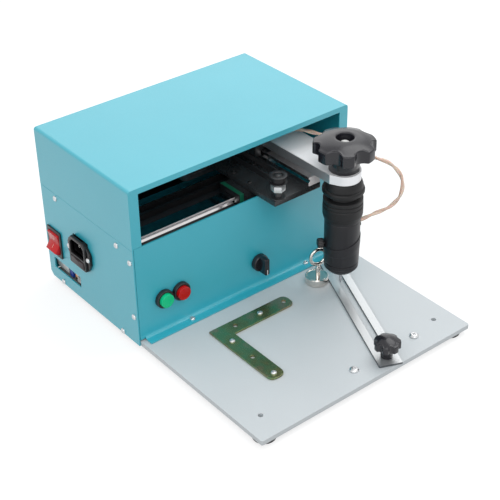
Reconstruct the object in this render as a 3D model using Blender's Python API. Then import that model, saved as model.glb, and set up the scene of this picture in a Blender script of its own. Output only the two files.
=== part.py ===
"""Desktop marking machine for metal nameplates: a sheet housing with an XY carriage inside, an arm that
carries the marking head out over an aluminium base plate, and the loose work holders that lie on it.

Metres, +Z up. X runs along the housing's front, Y from the front to the back.
The origin is the middle of the machine's box, on the surface that its feet stand on.
Places inside the functions are measured from the housing: x from the outer face of its left side,
y from the outer face of its front panel towards the back, z from the top of the base plate.
"""
import math

import bmesh
import bpy
from mathutils import Matrix, Vector

# Clearances
GAP = 0.0003            # between pieces that touch
OVERRUN = 0.002         # how far a cutter runs past the face that it cuts

# Housing sheets
HOUSING_W = 0.270
HOUSING_D = 0.165
COVER_TOP = 0.1705
SEAM_Z = 0.1063         # the cover's lower edge
PANEL_TOP = 0.1075      # the front panel's upper edge
SHEET = 0.0015
COVER_BEND = 0.0030     # outer radius of the cover's two long bends
FRAME_SIDE = 0.0110     # the cover's front frame at the sides of the mouth
FRAME_TOP = 0.0058      # and above it
CORNER_CUT = 0.0050     # chamfer at the sides' lower back corner
SIDE_RETURN = 0.0120    # the front panel's flanges, which the screws hold
REAR_RETURN = 0.0060    # and the rear panel's, short of the switch
RETURN_MARGIN = 0.0030
FLANGE_REACH = 0.0105   # the front panel's foot on the base plate
FLANGE_INSET = 0.0035
FLANGE_BEND = 0.0040
TAB_W = 0.0140          # the cover's hanging tabs behind the sides
TAB_DROP = 0.0105
TAB_RISE = 0.0090
TAB_FRONT_Y = 0.0268
TAB_BACK_INSET = 0.0278
TAB_BACK_Y = HOUSING_D - TAB_BACK_INSET
VENT_W = 0.0035
VENT_H = 0.0300
VENT_PITCH = 0.0110
VENT_Z = 0.0480
VENTS = 9

# Base plate and feet
DECK_T = 0.0050
DECK_FRONT = 0.1865     # from the front panel to the plate's front edge
DECK_CORNER = 0.0020
DECK_HOLE_R = 0.0026
DECK_HOLE_SIDE = 0.0215
DECK_HOLE_FRONT = 0.0282
FOOT_R = 0.0120
FOOT_LOW_R = 0.0112
FOOT_H = 0.0060
FOOT_INSET = 0.0140
FOOT_BACK_INSET = 0.0350

# Power inlet and its fuse drawer, in the left side
INLET_BACK = 0.0695     # from the back to the inlet's middle
INLET_Y = HOUSING_D - INLET_BACK
INLET_Z = 0.0582
INLET_W = 0.0300
INLET_H = 0.0328
INLET_PROUD = 0.0055
INLET_EAR_REACH = 0.0205
INLET_EAR_T = 0.0030
INLET_EAR_H = 0.0120
INLET_EAR_DROP = 0.0005
INLET_CORNER = 0.0050
INLET_BOX_W = 0.0270
INLET_BOX_H = 0.0300
INLET_BOX_DEEP = 0.0240
SOCKET_W = 0.0240
SOCKET_H = 0.0168
SOCKET_RISE = 0.0044
SOCKET_DEEP = 0.0160
SOCKET_CORNER = 0.0042
BLADE_W = 0.0040
BLADE_T = 0.0020
BLADE_L = 0.0120
BLADE_PITCH = 0.0070
BLADE_STAGGER = 0.0040
DRAWER_W = 0.0240
DRAWER_H = 0.0078
DRAWER_DROP = 0.0105
DRAWER_DEEP = 0.0150
DRAWER_PROUD = 0.0006

# Rocker switch, in the left side
SWITCH_BACK = 0.0184
SWITCH_Y = HOUSING_D - SWITCH_BACK
SWITCH_Z = 0.0445
SWITCH_W = 0.0255
SWITCH_H = 0.0318
SWITCH_RIM_T = 0.0020
SWITCH_BOX_W = 0.0206
SWITCH_BOX_H = 0.0272
SWITCH_BOX_DEEP = 0.0180
SWITCH_WALL = 0.0010
ROCKER_W = 0.0190
ROCKER_R = 0.0118       # from the rocker's pivot to its two ends
ROCKER_PIVOT_DEEP = 0.0010
ROCKER_RIM_ANGLE = math.radians(35)
ROCKER_LOW_ANGLE = math.radians(20)
ROCKER_TILT = math.radians(10)
ROCKER_VALLEY = 0.0032

# Port window and the electronics behind it
WINDOW_BACK = 0.0108
WINDOW_W = 0.0507
WINDOW_Y1 = HOUSING_D - WINDOW_BACK
WINDOW_Y0 = WINDOW_Y1 - WINDOW_W
WINDOW_Z0 = 0.0091
WINDOW_Z1 = 0.0218
BOARD_X = 0.0090
BOARD_L = 0.0800
BOARD_W = 0.0590
BOARD_BACK = 0.0070
BOARD_Y = HOUSING_D - BOARD_BACK - BOARD_W
BOARD_Z = 0.0070
BOARD_T = 0.0016
BOARD_LEG_R = 0.0030
BOARD_LEG_INSET = 0.0045
USB_ALONG = 0.0095      # from the board's front edge
USB_Y = BOARD_Y + USB_ALONG
USB_W = 0.0120
USB_H = 0.0110
USB_L = 0.0160
USB_WALL = 0.0012
USB_POCKET = 0.0100
TERMINAL_ALONG = 0.0263
TERMINAL_Y = BOARD_Y + TERMINAL_ALONG
TERMINAL_W = 0.0070
TERMINAL_H = 0.0100
TERMINAL_L = 0.0085
TERMINAL_STEP = 0.0030
PORT_REACH = 0.0055     # how far the ports stand out from the board's edge
SUPPLY_L = 0.0980
SUPPLY_W = 0.0560
SUPPLY_RIGHT = 0.0220
SUPPLY_BACK = 0.0140
SUPPLY_X = HOUSING_W - SUPPLY_RIGHT - SUPPLY_L
SUPPLY_Y = HOUSING_D - SUPPLY_BACK - SUPPLY_W
SUPPLY_H = 0.0360
SUPPLY_LUG = 0.0080
SUPPLY_LUG_T = 0.0020

# Push buttons and the speed knob, on the front panel
BUTTON_X = 0.0314
BUTTON_PITCH = 0.0202
BUTTON_Z = 0.0392
BEZEL_R = 0.0099
BEZEL_T = 0.0032
BARREL_R = 0.0080
BARREL_L = 0.0220
BARREL_BORE_R = 0.0076
BARREL_BORE_L = 0.0140
CAP_R = 0.0073
CAP_PROUD = 0.0074
CAP_SINK = 0.0070
CAP_EDGE = 0.0010
SPEED_X = 0.1504
SPEED_Z = 0.0302
SPEED_SHAFT_R = 0.0023
SPEED_SHAFT_L = 0.0110
SPEED_POT_R = 0.0080
SPEED_POT_L = 0.0090
SPEED_SKIRT_R = 0.0094
SPEED_SKIRT_T = 0.0054
SPEED_BAR_W = 0.0062
SPEED_BAR_L = 0.0194
SPEED_KNOB_T = 0.0145
SPEED_OFF = 0.0008      # from the panel to the knob

# Linear rails and their blocks, size 15
RAIL_W = 0.0150
RAIL_H = 0.0100
RAIL_WAIST = 0.0019     # depth of the groove in each side
RAIL_GROOVE_LOW = 0.0034
RAIL_GROOVE_HIGH = 0.0082
BLOCK_W = 0.0320
BLOCK_STACK = 0.0160    # from the rail's foot to the block's top
BLOCK_UNDER = 0.0040    # from the rail's foot to the block's underside
BLOCK_SLACK = 0.0004    # between the block and the rail

# Where the carriage stands at rest, over the right part of the base plate
HEAD_RIGHT = 0.0571     # from the housing's right side to the head's upright axis
HEAD_FRONT = 0.0575     # from the front panel to it
AXIS_X = HOUSING_W - HEAD_RIGHT
AXIS_Y = -HEAD_FRONT

# The X axis, along the housing
SHELF_T = 0.0030
SHELF_Y0 = 0.0145
SHELF_Y1 = 0.0820
SHELF_LIP = 0.0150
X_RAIL_Y = 0.0280
X_RAIL_LEFT = 0.0060
X_RAIL_RIGHT = 0.0080
X_RAIL_X1 = HOUSING_W - X_RAIL_RIGHT
X_BLOCK_L = 0.0500
X_CAP_T = 0.0042
X_CAP_INSET = 0.0003
X_BELT_Y = 0.0580
X_MOTOR_X = 0.0275
X_MOTOR_H = 0.0380
X_IDLER_RIGHT = 0.0240
X_IDLER_X = HOUSING_W - X_IDLER_RIGHT
X_BELT_LIFT = 0.0054    # from the shelf to the belt's lower edge
BELT_TAB_L = 0.0100
BELT_TAB_T = 0.0060
BELT_TAB_GAP = 0.0004

# Motors, belts and pulleys
MOTOR_W = 0.0423
MOTOR_CORNER = 0.0040
MOTOR_BOSS_R = 0.0110
MOTOR_BOSS_T = 0.0020
MOTOR_SHAFT_R = 0.0025
BELT_W = 0.0060
BELT_T = 0.0014
BELT_PITCH_R = 0.00637
PULLEY_BARREL_R = 0.0054
PULLEY_FLANGE_R = 0.0090
PULLEY_FLANGE_T = 0.0009
PULLEY_HUB_R = 0.0080
PULLEY_SIDE_GAP = 0.0002
BORE_SLACK = 0.0001
IDLER_POST_R = 0.0040
IDLER_PIN_R = 0.0025
NUT_R = 0.0073
NUT_H = 0.0068

# The Y axis, on the plate that the X block carries
Y_PLATE_TO_AXIS = 0.0041
Y_PLATE_W = 0.0590
Y_PLATE_REAR_W = 0.0748
Y_PLATE_X1 = AXIS_X - Y_PLATE_TO_AXIS
Y_PLATE_X0 = Y_PLATE_X1 - Y_PLATE_W
Y_PLATE_REAR_X0 = Y_PLATE_X1 - Y_PLATE_REAR_W
X_BLOCK_ALONG = 0.0177  # from the plate's left edge to the X block's middle
X_BLOCK_X = Y_PLATE_X0 + X_BLOCK_ALONG
BELT_TAB_ALONG = 0.0352
BELT_TAB_X = Y_PLATE_X0 + BELT_TAB_ALONG
Y_PLATE_FRONT = 0.0280  # how far it stands out before the front panel
Y_PLATE_BACK = 0.0150
Y_PLATE_STEP = 0.0500
Y_PLATE_Y1 = HOUSING_D - Y_PLATE_BACK
Y_PLATE_STEP_Y = Y_PLATE_Y1 - Y_PLATE_STEP
Y_PLATE_T = 0.0060
Y_PLATE_CLEAR = 0.0012  # over the front panel's upper edge
Y_RAIL_STOP = 0.0520     # from the plate's back edge to the rail's
Y_RAIL_BACK = Y_PLATE_Y1 - Y_RAIL_STOP
Y_BLOCK_STOP = 0.0520    # from the rail's back end to the block's front
Y_BLOCK_Y = Y_RAIL_BACK - Y_BLOCK_STOP
Y_BLOCK_L = 0.0420
Y_BELT_ALONG = 0.0074
Y_BELT_X = Y_PLATE_X0 + Y_BELT_ALONG
Y_IDLER_INSET = 0.0040
Y_IDLER_Y = Y_IDLER_INSET - Y_PLATE_FRONT
Y_MOTOR_INSET = 0.0250
Y_MOTOR_Y = Y_PLATE_Y1 - Y_MOTOR_INSET
Y_MOTOR_H = 0.0260
Y_POST_H = 0.0106       # from the plate to the idler's nut

# The arm that carries the head
ARM_W = 0.0380
ARM_T = 0.0100
ARM_BACK_REACH = 0.0070  # past the block
ARM_BACK = Y_BLOCK_Y + Y_BLOCK_L + ARM_BACK_REACH
ARM_BORE_R = 0.0085
ARM_END_R = 0.0172       # of its round front end
ARM_TAB_ALONG = 0.0120   # from the block's front
ARM_TAB_W = 0.0180
ARM_TAB_Y0 = Y_BLOCK_Y + ARM_TAB_ALONG
ARM_TAB_Y1 = ARM_TAB_Y0 + ARM_TAB_W
ARM_TAB_GAP = 0.0004

# The marking head, heights over the base plate
NEEDLE_TIP_Z = 0.0060
NEEDLE_TIP_R = 0.0003
NEEDLE_R = 0.00125
NEEDLE_CONE = 0.0035
NEEDLE_SEAT_Z = 0.0440
NEEDLE_SEAT_R = 0.0040
NEEDLE_SEAT_T = 0.0030
NEEDLE_ROD_R = 0.0030
NEEDLE_ROD_TOP_Z = 0.0800
NOSE_Z = 0.0205
NOSE_R = 0.0070
NOSE_TOP_R = 0.0172
NOSE_BORE_R = 0.0016
NOSE_HALF_Z = 0.0245
NOSE_HALF_R = 0.0130
NOSE_EDGE_Z = 0.0290
SLEEVE_Z = 0.0340
SLEEVE_TOP_Z = 0.0625
SLEEVE_R = 0.0184
SLEEVE_LOW_R = 0.0179
SLEEVE_BORE_R = 0.0165
SLEEVE_WEB = 0.0040
SLEEVE_LIP = 0.0010
SPIGOT_R = 0.0162
SPIGOT_Z = 0.0480
HEAD_BORE_R = 0.0050
BODY_R = 0.0182
BODY_Z = 0.0630
BODY_TOP_Z = 0.1010
BODY_EDGE = 0.0015
COIL_ROOM_R = 0.0150
COIL_ROOM_Z0 = 0.0660
COIL_ROOM_Z1 = 0.0970
COIL_R = 0.0145
COIL_BORE_R = 0.0036
SPRING_R = 0.0036
SPRING_BORE_R = 0.0022
SPINDLE_R = 0.0080
SPINDLE_BORE_R = 0.0048
SPINDLE_TOP_Z = 0.1665
THUMB_Z = 0.0575
THUMB_ANGLE = math.radians(150)
THUMB_R = 0.0052
THUMB_L = 0.0066
THUMB_SHANK_R = 0.0020

# The rubber bellows between the arm and the head
BELLOWS_TOP_R = 0.0176
BELLOWS_BORE_R = 0.0160
BELLOWS_CUFF_BORE_R = 0.0186
BELLOWS_RIB_R = 0.0213
BELLOWS_VALLEY_R = 0.0181
BELLOWS_RIDGE_R = 0.0200
BELLOWS_CUFF_R = 0.0203
BELLOWS_HEM_R = 0.0194
BELLOWS_RIB_Z = 0.1191
BELLOWS_RIB_HALF = 0.0022
BELLOWS_SHOULDER_Z = 0.1262
BELLOWS_VALLEY_Z = 0.1142
BELLOWS_RIDGE_Z = 0.1104
BELLOWS_CUFF_Z = 0.1066
BELLOWS_HEM_Z = 0.0885
BELLOWS_HEM_EDGE = 0.0040
BELLOWS_SEAT_Z = 0.1016

# Star knobs
LOBES = 7
STEPS_PER_LOBE = 8
KNOB_R = 0.0310
KNOB_SCALLOP_R = 0.0102
KNOB_SCALLOP_AT = 0.0356
KNOB_HUB_R = 0.0154
KNOB_LOBE_Z = 0.1588
KNOB_RIM_Z = 0.1710
KNOB_DOME_Z = 0.1766
KNOB_HOLE_R = 0.0088
KNOB_SEAT_Z = 0.1600    # below this the bore is the thread's
KNOB_TURN = math.radians(28)
CLAMP_R = 0.0131
CLAMP_SCALLOP_R = 0.0034
CLAMP_SCALLOP_AT = 0.0142
CLAMP_HUB_R = 0.0066
CLAMP_HUB_LOW_R = 0.0058
CLAMP_LOBE_H = 0.0092   # from the bar to the lobes' underside
CLAMP_RIM_H = 0.0158
CLAMP_DOME_H = 0.0202
CLAMP_BORE_DEEP = 0.0150
CLAMP_TURN = math.radians(12)

# The slotted clamp bar
BAR_L = 0.1800
BAR_W = 0.0240
BAR_T = 0.0020
BAR_CORNER = 0.0010
BAR_SLOT_W = 0.0070
BAR_NEAR = 0.0125       # from its near end to the stud
BAR_FAR_WEB = 0.0120
STUD_RIGHT = 0.1026     # from the housing's right side
STUD_FRONT = 0.0139     # from the plate's front edge
STUD_X = HOUSING_W - STUD_RIGHT
STUD_Y = STUD_FRONT - DECK_FRONT
STUD_R = 0.0030
STUD_HOLE_R = 0.0033
BAR_ANGLE = math.radians(66.5)  # from +X to the bar's far end
BACKING_L = 0.0960
BACKING_W = 0.0200
BACKING_T = 0.0030
BACKING_OFFSET = 0.0030

# The corner bracket and the lifting magnet
BRACKET_RIGHT = 0.2094  # from the housing's right side to the bracket's left edge
BRACKET_X = HOUSING_W - BRACKET_RIGHT
BRACKET_Y = -0.0327
BRACKET_LEG = 0.0965
BRACKET_W = 0.0180
BRACKET_T = 0.0020
BRACKET_CORNER = 0.0010
BRACKET_END_R = 0.0075
BRACKET_HOLE_R = 0.0024
BRACKET_HOLE_FIRST = 0.0265
BRACKET_HOLE_PITCH = 0.0315
BRACKET_HOLE_LINE = 0.0085
MAGNET_RIGHT = 0.0690
MAGNET_FRONT = 0.0340
MAGNET_X = HOUSING_W - MAGNET_RIGHT
MAGNET_Y = -MAGNET_FRONT
MAGNET_R = 0.0121
MAGNET_H = 0.0080
MAGNET_EDGE = 0.0008
EYE_R = 0.0088
EYE_WIRE_R = 0.0016
EYE_Z = 0.0312
EYE_SHANK_R = 0.0024
EYE_COLLAR_R = 0.0036
EYE_COLLAR_T = 0.0020
EYE_TURN = math.radians(12.5)

# The head's wire, a twisted pair. Its route's x and y run from the head's axis, its z from the base plate
WIRE_D = 0.0042
WIRE_ROUTE = (
    (0.0001, 0.1362, 0.1437),
    (0.0015, 0.1182, 0.1439),
    (0.0039, 0.1002, 0.1452),
    (0.0071, 0.0867, 0.1478),
    (0.0108, 0.0760, 0.1498),
    (0.0164, 0.0572, 0.1510),
    (0.0226, 0.0362, 0.1500),
    (0.0304, 0.0146, 0.1452),
    (0.0385, -0.0034, 0.1412),
    (0.0470, -0.0124, 0.1370),
    (0.0531, -0.0189, 0.1297),
    (0.0565, -0.0230, 0.1217),
    (0.0570, -0.0251, 0.1130),
    (0.0553, -0.0260, 0.1062),
    (0.0519, -0.0254, 0.0992),
    (0.0444, -0.0224, 0.0916),
    (0.0368, -0.0186, 0.0878),
    (0.0301, -0.0146, 0.0850),
    (0.0234, -0.0104, 0.0816),
    (0.0178, -0.0072, 0.0790),
)
WIRE_STEPS = 4          # curve points for each route point

# Facets
ROUND = 28
SMALL_ROUND = 16
TINY_ROUND = 12
BEND_STEPS = 4

# What stands out furthest: the rocker's raised end on the left, the clamp bar's near corner in front
LEFT_PROUD = ROCKER_R * math.sin(ROCKER_RIM_ANGLE + ROCKER_TILT) - ROCKER_PIVOT_DEEP
X_LEFT = (LEFT_PROUD - HOUSING_W) / 2
BAR_CORNER_Y = STUD_Y - (BAR_NEAR - BAR_CORNER) * math.sin(BAR_ANGLE) \
    - (BAR_W / 2 - BAR_CORNER) * math.cos(BAR_ANGLE) - BAR_CORNER
Y_FRONT = -(BAR_CORNER_Y + HOUSING_D) / 2
Z_DECK = FOOT_H + DECK_T

# Heights of the axes' stacks
Y_PLATE_Z = PANEL_TOP + Y_PLATE_CLEAR
X_BLOCK_TOP = Y_PLATE_Z - GAP
X_RAIL_Z = X_BLOCK_TOP - BLOCK_STACK
SHELF_TOP = X_RAIL_Z - GAP
X_BELT_Z = SHELF_TOP + X_BELT_LIFT
Y_PLATE_TOP = Y_PLATE_Z + Y_PLATE_T
Y_RAIL_Z = Y_PLATE_TOP + GAP
Y_BLOCK_TOP = Y_RAIL_Z + BLOCK_STACK
ARM_Z = Y_BLOCK_TOP + GAP
ARM_TOP = ARM_Z + ARM_T
NUT_TOP = Y_PLATE_TOP + Y_POST_H + NUT_H
Y_BELT_Z = NUT_TOP + 2 * GAP + PULLEY_FLANGE_T + PULLEY_SIDE_GAP
BAR_TOP = GAP + BAR_T

# Colour, roughness and metallic value of each material
LOOKS = {
    "turquoise_paint": ((0.07, 0.42, 0.50), 0.45, 0.0),
    "grey_plate": ((0.62, 0.66, 0.68), 0.40, 0.2),
    "black_rubber": ((0.015, 0.015, 0.016), 0.75, 0.0),
    "black_plastic": ((0.015, 0.015, 0.017), 0.30, 0.0),
    "black_metal": ((0.020, 0.020, 0.022), 0.45, 0.6),
    "red_plastic": ((0.50, 0.010, 0.015), 0.25, 0.0),
    "green_lens": ((0.01, 0.45, 0.18), 0.25, 0.0),
    "red_lens": ((0.50, 0.015, 0.015), 0.25, 0.0),
    "green_end_cap": ((0.01, 0.22, 0.10), 0.45, 0.0),
    "bearing_steel": ((0.45, 0.46, 0.47), 0.25, 1.0),
    "arm_aluminium": ((0.70, 0.71, 0.73), 0.35, 1.0),
    "bright_steel": ((0.68, 0.69, 0.70), 0.18, 1.0),
    "nickel": ((0.66, 0.64, 0.60), 0.12, 1.0),
    "zinc_chromate": ((0.32, 0.31, 0.16), 0.30, 1.0),
    "board_green": ((0.01, 0.12, 0.05), 0.45, 0.0),
    "blue_plastic": ((0.01, 0.05, 0.35), 0.40, 0.0),
    "copper_winding": ((0.55, 0.25, 0.12), 0.40, 0.8),
    "wire_insulation": ((0.60, 0.45, 0.34), 0.35, 0.0),
}


def place(x, y, z):
    """A point measured from the housing, in the part's own frame."""
    return Vector((X_LEFT + x, Y_FRONT + y, Z_DECK + z))


def material(name):
    found = bpy.data.materials.get(name)
    if found:
        return found
    colour, roughness, metallic = LOOKS[name]
    made = bpy.data.materials.new(name)
    made.use_nodes = True
    shader = made.node_tree.nodes["Principled BSDF"]
    shader.inputs["Base Color"].default_value = (*colour, 1)
    shader.inputs["Roughness"].default_value = roughness
    shader.inputs["Metallic"].default_value = metallic
    made.diffuse_color = (*colour, 1)
    return made


def clear_scene():
    for obj in list(bpy.data.objects):
        bpy.data.objects.remove(obj, do_unlink=True)


# Shapes, each a bmesh in the part's frame

def block(x0, x1, y0, y1, z0, z1):
    """A box between two housing places on each axis."""
    low, high = place(x0, y0, z0), place(x1, y1, z1)
    bm = bmesh.new()
    bmesh.ops.create_cube(bm, size=1)
    bmesh.ops.scale(bm, vec=high - low, verts=bm.verts)
    bmesh.ops.translate(bm, vec=(low + high) / 2, verts=bm.verts)
    return bm


def turn_to(bm, axis):
    """Turns a shape that was made along +Z so that it runs along the axis, a letter or a direction."""
    directions = {"X": Vector((1, 0, 0)), "Y": Vector((0, 1, 0)), "Z": Vector((0, 0, 1))}
    aim = directions[axis] if isinstance(axis, str) else Vector(axis)
    turn = Vector((0, 0, 1)).rotation_difference(aim).to_matrix().to_4x4()
    bmesh.ops.transform(bm, matrix=turn, verts=bm.verts)


def rod(start, radius, length, axis="Z", sides=SMALL_ROUND):
    """A round bar from a point of the part's frame, along the axis."""
    bm = bmesh.new()
    bmesh.ops.create_cone(bm, cap_ends=True, segments=sides, radius1=radius, radius2=radius, depth=length)
    bmesh.ops.translate(bm, vec=(0, 0, length / 2), verts=bm.verts)
    turn_to(bm, axis)
    bmesh.ops.translate(bm, vec=start, verts=bm.verts)
    return bm


def turned(profile, centre, axis="Z", sides=ROUND):
    """A body of revolution: the closed profile of (radius, height) points, turned about the axis.

    A radius of 0 is a point on the axis.
    """
    bm = bmesh.new()
    rings = []
    for radius, height in profile:
        if radius == 0:
            rings.append([bm.verts.new((0, 0, height))])
            continue
        ring = []
        for step in range(sides):
            angle = math.tau * step / sides
            ring.append(bm.verts.new((radius * math.cos(angle), radius * math.sin(angle), height)))
        rings.append(ring)
    for first, second in zip(rings, rings[1:] + rings[:1]):
        join_rings(bm, first, second)
    bmesh.ops.recalc_face_normals(bm, faces=bm.faces)
    turn_to(bm, axis)
    bmesh.ops.translate(bm, vec=centre, verts=bm.verts)
    return bm


def join_rings(bm, first, second):
    """Faces between two rings of vertices, either of which may be a single point."""
    if len(first) == 1 and len(second) == 1:
        return
    sides = max(len(first), len(second))
    for step in range(sides):
        after = (step + 1) % sides
        corners = [first[step % len(first)], first[after % len(first)],
                   second[after % len(second)], second[step % len(second)]]
        kept = list(dict.fromkeys(corners))
        bm.faces.new(kept)


def stacked(loops, centre):
    """A closed body through loops of (x, y, z) points, each with as many points as the others."""
    bm = bmesh.new()
    rings = [[bm.verts.new(point) for point in loop] for loop in loops]
    for first, second in zip(rings, rings[1:] + rings[:1]):
        join_rings(bm, first, second)
    bmesh.ops.recalc_face_normals(bm, faces=bm.faces)
    bmesh.ops.translate(bm, vec=centre, verts=bm.verts)
    return bm


def extruded(outline, start, length, axis="Z"):
    """An outline run along an axis. Outline points are (y, z), (x, z) or (x, y) for X, Y or Z, in the
    part's frame for Y and Z as for X, and start is the lower end along the axis."""
    orders = {"X": lambda a, b, c: (c, a, b), "Y": lambda a, b, c: (a, c, b), "Z": lambda a, b, c: (a, b, c)}
    order = orders[axis]
    bm = bmesh.new()
    low = [bm.verts.new(order(a, b, start)) for a, b in outline]
    high = [bm.verts.new(order(a, b, start + length)) for a, b in outline]
    join_rings(bm, low, high)
    bm.faces.new(low)
    bm.faces.new(high)
    bmesh.ops.recalc_face_normals(bm, faces=bm.faces)
    return bm


def in_plan(points):
    """Housing (x, y) places as points of the part's frame."""
    return [(X_LEFT + x, Y_FRONT + y) for x, y in points]


def in_front_view(points):
    """Housing (x, z) places as points of the part's frame."""
    return [(X_LEFT + x, Z_DECK + z) for x, z in points]


def in_side_view(points):
    """Housing (y, z) places as points of the part's frame."""
    return [(Y_FRONT + y, Z_DECK + z) for y, z in points]


def arc(centre_a, centre_b, radius, start, end, steps=BEND_STEPS):
    """Points on an arc, from one angle to another, both in quarter turns."""
    points = []
    for step in range(steps + 1):
        angle = math.pi / 2 * (start + (end - start) * step / steps)
        points.append((centre_a + radius * math.cos(angle), centre_b + radius * math.sin(angle)))
    return points


def rounded_box_outline(a0, a1, b0, b1, radius, steps=BEND_STEPS):
    """A rectangle with round corners, anticlockwise."""
    return (arc(a1 - radius, b0 + radius, radius, 3, 4, steps) + arc(a1 - radius, b1 - radius, radius, 0, 1, steps)
            + arc(a0 + radius, b1 - radius, radius, 1, 2, steps) + arc(a0 + radius, b0 + radius, radius, 2, 3, steps))


def cut_box_outline(a0, a1, b0, b1, low_cut, high_cut):
    """A rectangle with its corners cut at 45 degrees, by one size below and another above."""
    return [(a0 + low_cut, b0), (a1 - low_cut, b0), (a1, b0 + low_cut), (a1, b1 - high_cut),
            (a1 - high_cut, b1), (a0 + high_cut, b1), (a0, b1 - high_cut), (a0, b0 + low_cut)]


# Objects

def finish(name, bm, look, origin, body=None, smooth=True):
    """Makes the shape an object whose origin is a point of the part's frame, carried by a body's empty."""
    bmesh.ops.translate(bm, vec=-origin, verts=bm.verts)
    mesh = bpy.data.meshes.new(name)
    bm.to_mesh(mesh)
    bm.free()
    if smooth:
        mesh.shade_smooth()
        mesh.set_sharp_from_angle(angle=math.radians(35))
    mesh.materials.append(material(look))
    obj = bpy.data.objects.new(name, mesh)
    obj.location = origin
    bpy.context.scene.collection.objects.link(obj)
    if body:
        carry(obj, body)
    return obj


def carry(obj, body):
    """Parents an object to a body's empty and leaves it where it is."""
    obj.parent = body
    obj.matrix_parent_inverse = Matrix.Translation(-Vector(body["at"]))


def empty(name, at, body=None):
    """An empty on a joint's axis. It keeps its own place, which its children need."""
    obj = bpy.data.objects.new(name, None)
    obj.location = at
    obj["at"] = tuple(at)
    bpy.context.scene.collection.objects.link(obj)
    if body:
        carry(obj, body)
    return obj


def combine(obj, bm, operation):
    """Cuts a shape from an object or joins it on, through a hidden helper that moves with the object."""
    mesh = bpy.data.meshes.new(obj.name + "_helper")
    bm.to_mesh(mesh)
    bm.free()
    helper = bpy.data.objects.new(mesh.name, mesh)
    helper.hide_render = True
    helper.display_type = "WIRE"
    bpy.context.scene.collection.objects.link(helper)
    modifier = obj.modifiers.new(operation.lower(), "BOOLEAN")
    modifier.operation = operation
    modifier.solver = "EXACT"
    modifier.object = helper


def cut(obj, *shapes):
    for bm in shapes:
        combine(obj, bm, "DIFFERENCE")


def join(obj, *shapes):
    for bm in shapes:
        combine(obj, bm, "UNION")


# Housing

def make_deck():
    """The base plate, with its tapped holes, and its four feet."""
    x0, x1 = SHEET + GAP, HOUSING_W - SHEET - GAP
    y0, y1 = -DECK_FRONT, HOUSING_D - SHEET - GAP
    outline = [(x1, y1), (x0, y1)]
    outline += arc(x0 + DECK_CORNER, y0 + DECK_CORNER, DECK_CORNER, 2, 3)
    outline += arc(x1 - DECK_CORNER, y0 + DECK_CORNER, DECK_CORNER, 3, 4)
    bm = extruded(in_plan(outline), Z_DECK - DECK_T, DECK_T)
    deck = finish("base_plate", bm, "grey_plate", place(HOUSING_W / 2, 0, 0))
    drill = DECK_T + 2 * OVERRUN
    for x in (x0 + DECK_HOLE_SIDE, x1 - DECK_HOLE_SIDE):
        cut(deck, rod(place(x, y0 + DECK_HOLE_FRONT, -DECK_T - OVERRUN), DECK_HOLE_R, drill))
    cut(deck, rod(place(STUD_X, STUD_Y, -DECK_T - OVERRUN), STUD_HOLE_R, drill))
    rows = (("front", y0 + FOOT_INSET), ("back", y1 - FOOT_BACK_INSET))
    sides = (("left", x0 + FOOT_INSET), ("right", x1 - FOOT_INSET))
    for row, y in rows:
        for side, x in sides:
            profile = [(0, 0), (FOOT_LOW_R, 0), (FOOT_R, FOOT_H - GAP), (0, FOOT_H - GAP)]
            ground = place(x, y, -Z_DECK)
            finish(f"foot_{row}_{side}", turned(profile, ground), "black_rubber", ground)


def side_outline():
    top = SEAM_Z - GAP
    return [(0, -DECK_T), (HOUSING_D - CORNER_CUT, -DECK_T), (HOUSING_D, CORNER_CUT - DECK_T),
            (HOUSING_D, top), (0, top)]


def make_sides():
    """The two lower sides. The left one has the openings for the inlet, the switch and the ports."""
    left = finish("left_side_panel", extruded(in_side_view(side_outline()), X_LEFT, SHEET, "X"),
                  "turquoise_paint", place(0, HOUSING_D / 2, 0), smooth=False)
    x0, x1 = -OVERRUN, SHEET + OVERRUN
    cut(left, block(x0, x1, INLET_Y - INLET_BOX_W / 2 - GAP, INLET_Y + INLET_BOX_W / 2 + GAP,
                    INLET_Z - INLET_BOX_H / 2 - GAP, INLET_Z + INLET_BOX_H / 2 + GAP))
    cut(left, block(x0, x1, SWITCH_Y - SWITCH_BOX_W / 2 - GAP, SWITCH_Y + SWITCH_BOX_W / 2 + GAP,
                    SWITCH_Z - SWITCH_BOX_H / 2 - GAP, SWITCH_Z + SWITCH_BOX_H / 2 + GAP))
    cut(left, block(x0, x1, WINDOW_Y0, WINDOW_Y1, WINDOW_Z0, WINDOW_Z1))
    right_x = HOUSING_W - SHEET
    finish("right_side_panel", extruded(in_side_view(side_outline()), X_LEFT + right_x, SHEET, "X"),
           "turquoise_paint", place(right_x, HOUSING_D / 2, 0), smooth=False)


def make_rear_panel():
    """The lower back, with its vents and the flanges inside the sides."""
    x0, x1 = SHEET + GAP, HOUSING_W - SHEET - GAP
    y0 = HOUSING_D - SHEET
    panel = finish("rear_panel", block(x0, x1, y0, HOUSING_D, CORNER_CUT - DECK_T, SEAM_Z - GAP),
                   "turquoise_paint", place(HOUSING_W / 2, HOUSING_D, 0), smooth=False)
    z0, z1 = RETURN_MARGIN, SEAM_Z - RETURN_MARGIN
    for low in (x0, x1 - SHEET):
        join(panel, block(low, low + SHEET, y0 - REAR_RETURN, y0 + SHEET / 2, z0, z1))
    for vent in range(VENTS):
        middle = HOUSING_W / 2 + (vent - (VENTS - 1) / 2) * VENT_PITCH
        cut(panel, block(middle - VENT_W / 2, middle + VENT_W / 2, y0 - OVERRUN, HOUSING_D + OVERRUN,
                         VENT_Z, VENT_Z + VENT_H))


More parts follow.
